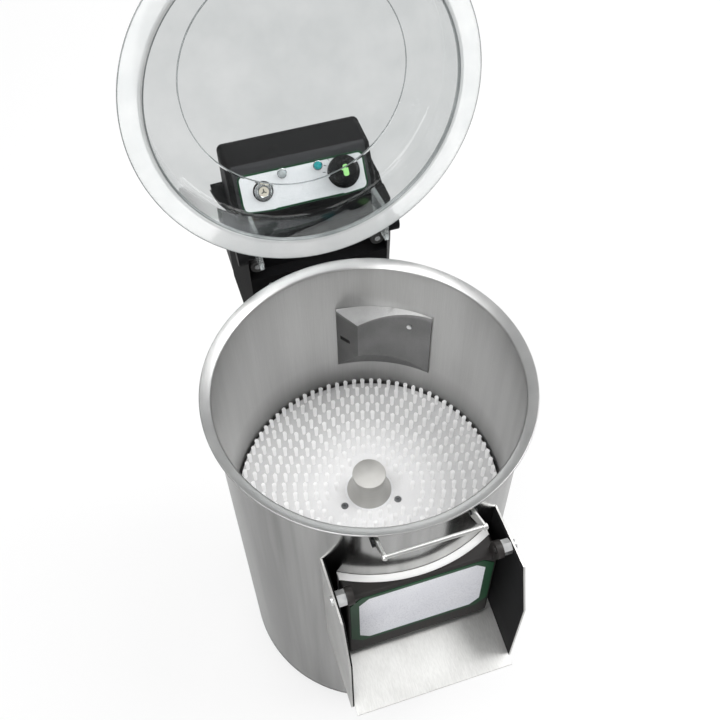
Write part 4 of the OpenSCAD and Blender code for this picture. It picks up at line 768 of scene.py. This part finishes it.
def make_button():
    """The push button: a dark flange, a chromed ring and a cap whose dished middle has a three-armed sign."""
    t, r, b, c = LABEL["t"], BUTTON["r"], BUTTON["bezel"], BUTTON["centre"]
    ring_in, ring_out, ring_h, cap_low, cap_top, dish, steps = r + 0.35, r + 2.4, 3, 3.5, 5.4, 0.3, 72
    flange = revolve([[ring_out, 0], [b, 0], [b, 1.2], [b - 0.8, 2.2], [ring_out, 2.6],
                      [ring_out, 0]], steps)
    ring = revolve(np.concatenate([[[ring_in, 0], [ring_out, 0], [ring_out, ring_h]],
                                   arc((r + 1.4, ring_h), 1.0, 0, 180, 7),
                                   [[ring_in, ring_h], [ring_in, 0]]]), steps)
    piece("button_flange", [(on_panel(flange, BUTTON["x"], BUTTON["s"], t), 0),
                            (on_panel(ring, BUTTON["x"], BUTTON["s"], t), 1)], "machine",
          [buffed_phenolic, chromed_brass], ["button_bezel"])
    rim = revolve(np.concatenate([[[c, cap_low], [r - 0.2, cap_low]], arc((r - 1, 5), 0.8, 0, 90, 5),
                                  [[c + 0.6, 5.9], [c, cap_top], [c, cap_low]]]), steps)
    cap = revolve(np.column_stack([np.linspace(c, 0, 6), cap_top - dish * np.linspace(0, 1, 6) ** 2]),
                  steps)
    bars = []
    low, high = SIGN["low"], SIGN["top"]
    for a in np.radians(SIGN["turns"]):
        bar = layered(round_box(SIGN["w"], SIGN["h"], SIGN["corner"], 4),
                      [(None, low), (0, low), (0, high), (None, high)])
        across = np.array([math.cos(a), math.sin(a), 0])
        bars.append(stand(bar, across * SIGN["off"], across, [-across[1], across[0], 0]))
    grids = [(rim, 2), (cap, 0)] + [(bar, 1) for bar in bars]
    skins = [(on_panel(grid, BUTTON["x"], BUTTON["s"], t), number) for grid, number in grids]
    piece("button_cap", skins, "button", [moulded_polyamide, printed_black, chromed_brass],
          ["stop_button"])


def make_lamps():
    """The pilot lamps: a chromed collar and a lens each, the lens a quarter circle turned to a dome."""
    r, t = LAMPS["r"], LABEL["t"]
    seat_r, lens_r, lens_low, dome_z, steps = r - 0.5, r - 0.3, 0.4, 1.6, 64
    collar = revolve([[seat_r, 0], [r + 0.9, 0], [r + 0.7, 1.2], [r + 0.2, dome_z], [seat_r, 1.4],
                      [seat_r, 0]], steps)
    dome = arc((0, dome_z), lens_r, 0, 90, 10)
    lens = revolve(np.concatenate([[[0, lens_low], [lens_r, lens_low], [lens_r, dome_z]], dome]), steps)
    lamps = (("clear", "lamp_clear", clear_acrylic), ("teal", "lamp_green", teal_acrylic))
    for name, node, material in lamps:
        skins = [(on_panel(grid, LAMPS[name], LAMPS["s"], t), k) for k, grid in enumerate((lens, collar))]
        piece("lamp_" + name + "_lens", skins, "machine", [material, chromed_brass], [node])


def make_door_label():
    """The door's plate: a film with cut corners, a printed border and a bare silver field."""
    w, h, c, t = PLATE["half"], PLATE["h"], PLATE["cut"], PLATE["t"]
    outline = np.array([[w - c, -h], [w, c - h], [w, -c], [w - c, 0],
                        [c - w, 0], [-w, -c], [-w, c - h], [c - w, -h]])
    outline = outline + [0, h / 2]
    s = PLATE["s"] + h / 2
    border = on_door(layered(outline, [(None, FILM_GAP), (0, FILM_GAP), (0, t - FILM_EASE),
                                       (FILM_EASE, t)]), s)
    inner = outline * [1 - PLATE["side_border"] / w, 1 - 2 * PLATE["end_border"] / h]
    frame_top = on_door(np.stack([layered(outline, [(FILM_EASE, t)])[0], layered(inner, [(0, t)])[0]]), s)
    field = on_door(layered(inner, [(0, t), (None, t)]), s)
    piece("door_overlay", [(border, 0), (frame_top, 0), (field, 1)], "door", [printed_green, printed_silver],
          ["door_label"])


def make_bar_handle():
    """The bar handle: a round bar with domed rivet ends through two tapered flat arms with dulled edges."""
    dy, dz = BAIL_BAR[0] - BAIL_PIN[0], BAIL_BAR[1] - BAIL_PIN[1]
    length = math.hypot(dy, dz)
    along = [0, dy / length, dz / length]
    up = [0, -dz / length, dy / length]
    pin_end_r, bar_end_r, dulled, corner = 7, 4, 0.5, 0.15
    edge = [(None, 0), (dulled, 0), (corner, corner), (0, dulled)]
    arm = layered(strap(pin_end_r, bar_end_r, length), edge + [(d, BAIL_T - z) for d, z in edge[::-1]])
    arms = [stand(arm, [x - BAIL_T / 2, *BAIL_PIN], along, up) for x in (-BAIL_X, BAIL_X)]
    piece("handle_arms", arms, "bail", [drawn_stainless], ["bail_arms"])
    end = BAIL_X + BAIL_T / 2
    head, rim, crown = 1, 0.6, 1.8
    side = np.concatenate([[[BAR_R, 0], [BAR_R, end], [BAR_R + head, end], [BAR_R + head, end + rim]],
                           arc((BAR_R, end + rim), head, 0, 90, 5), [[0, end + crown]]])
    profile = np.concatenate([side[::-1] * [1, -1], side[1:]])
    bar = stand(revolve(profile, 48), [0, *BAIL_BAR], [0, 1, 0], [0, 0, 1])
    piece("handle_bar", [bar], "bail", [drawn_stainless], ["bail_bar"])


def make_stage():
    """A wide pale floor, soft lamps overhead and at the sides, a pale surround and the photo's camera."""
    floor_glow, room_light = 0.72, 0.4
    a = np.linspace(0, 2 * math.pi, 97)
    rings = np.array([0.0, 0.5, 2, 8, 30]) / MM
    grid = rings[:, None, None] * np.stack([np.cos(a), np.sin(a), 0 * a], axis=-1)
    mesh = bpy.data.meshes.new("floor")
    mesh.from_pydata((grid.reshape(-1, 3) * MM).tolist(), [], quads_of(grid).reshape(-1, 4).tolist())
    floor = bpy.data.objects.new("floor", mesh)
    bpy.context.scene.collection.objects.link(floor)
    paper = bpy.data.materials.new("white_paper_sweep")
    paper.use_nodes = True
    tree = paper.node_tree
    tree.nodes.clear()
    lit = add(tree, "ShaderNodeBsdfDiffuse", {"Color": linear("#ececec")})
    glow = add(tree, "ShaderNodeEmission", {"Color": (1, 1, 1, 1), "Strength": 1.0})
    shade = add(tree, "ShaderNodeBsdfDiffuse", {"Color": linear("#c0c0c0")})
    path = add(tree, "ShaderNodeLightPath", {})
    seen = add(tree, "ShaderNodeMath", {0: path.outputs["Is Camera Ray"],
                                        1: path.outputs["Is Transmission Ray"]}, operation="MAXIMUM")
    share = add(tree, "ShaderNodeMath", {0: seen.outputs[0], 1: floor_glow}, operation="MULTIPLY")
    mirrored = add(tree, "ShaderNodeMixShader", {0: path.outputs["Is Glossy Ray"], 1: lit.outputs[0],
                                                 2: shade.outputs[0]})
    both = add(tree, "ShaderNodeMixShader", {0: share.outputs[0], 1: mirrored.outputs[0], 2: glow.outputs[0]})
    add(tree, "ShaderNodeOutputMaterial", {"Surface": both.outputs[0]})
    mesh.materials.append(paper)

    world = bpy.data.worlds.new("studio")
    bpy.context.scene.world = world
    world.use_nodes = True
    tree = world.node_tree
    tree.nodes.clear()
    path = add(tree, "ShaderNodeLightPath", {})
    strength = add(tree, "ShaderNodeMapRange", {0: path.outputs["Is Camera Ray"], 1: 0.0, 2: 1.0,
                                                3: room_light, 4: 1.0})
    back = add(tree, "ShaderNodeBackground", {"Color": (1, 1, 1, 1), "Strength": strength.outputs[0]})
    add(tree, "ShaderNodeOutputWorld", {"Surface": back.outputs[0]})

    for name, place, aim, size, power in (
        ("left_overhead_softbox", (-1.0, -0.2, 3.0), (0, 0, 0.4), (1.4, 2.2), 38),
        ("right_overhead_softbox", (1.6, 0.2, 3.0), (0, 0, 0.4), (1.4, 2.2), 46),
        ("front_softbox", (-1.6, -2.4, 1.9), (0, 0, 0.5), (1.4, 1.6), 40),
        ("right_softbox", (2.6, -0.8, 1.9), (0, 0, 0.5), (1.2, 1.8), 34),
        ("rear_softbox", (0.7, 3.2, 1.5), (0, 0, 0.7), (3.0, 1.6), 30),
    ):
        lamp = bpy.data.lights.new(name, "AREA")
        lamp.shape, lamp.size, lamp.size_y, lamp.energy = "RECTANGLE", *size, power
        obj = bpy.data.objects.new(name, lamp)
        bpy.context.scene.collection.objects.link(obj)
        back = np.array(place) - np.array(aim)
        back = back / np.linalg.norm(back)
        across = np.cross([0, 0, 1], back)
        across = across / np.linalg.norm(across)
        turn = np.eye(4)
        turn[:3, 0], turn[:3, 1], turn[:3, 2], turn[:3, 3] = across, np.cross(back, across), back, place
        obj.matrix_world = Matrix(turn.tolist())
        obj.visible_camera = False

    yaw, pitch, roll = np.radians(CAMERA_TURN)
    ahead = np.array([math.sin(yaw) * math.cos(pitch), math.cos(yaw) * math.cos(pitch), -math.sin(pitch)])
    right = np.array([math.cos(yaw), -math.sin(yaw), 0])
    up = np.cross(right, ahead)
    turn = np.eye(4)
    turn[:3, 0] = math.cos(roll) * right + math.sin(roll) * up
    turn[:3, 1] = -math.sin(roll) * right + math.cos(roll) * up
    turn[:3, 2], turn[:3, 3] = -ahead, CAMERA_PLACE
    lens = bpy.data.cameras.new("camera")
    lens.sensor_width, lens.lens = SENSOR, SENSOR * FOCAL_PX / PICTURE_PX
    camera = bpy.data.objects.new("camera", lens)
    bpy.context.scene.collection.objects.link(camera)
    camera.matrix_world = Matrix(turn.tolist())
    bpy.context.scene.camera = camera
    bpy.context.scene.view_settings.view_transform = "Standard"


make_tub()
make_tufts()
make_tuft_bed()
make_disc_knob()
make_lid()
make_control_box()
make_control_label()
make_timer_knob()
make_button()
make_lamps()
make_door_label()
make_bar_handle()
make_stage()
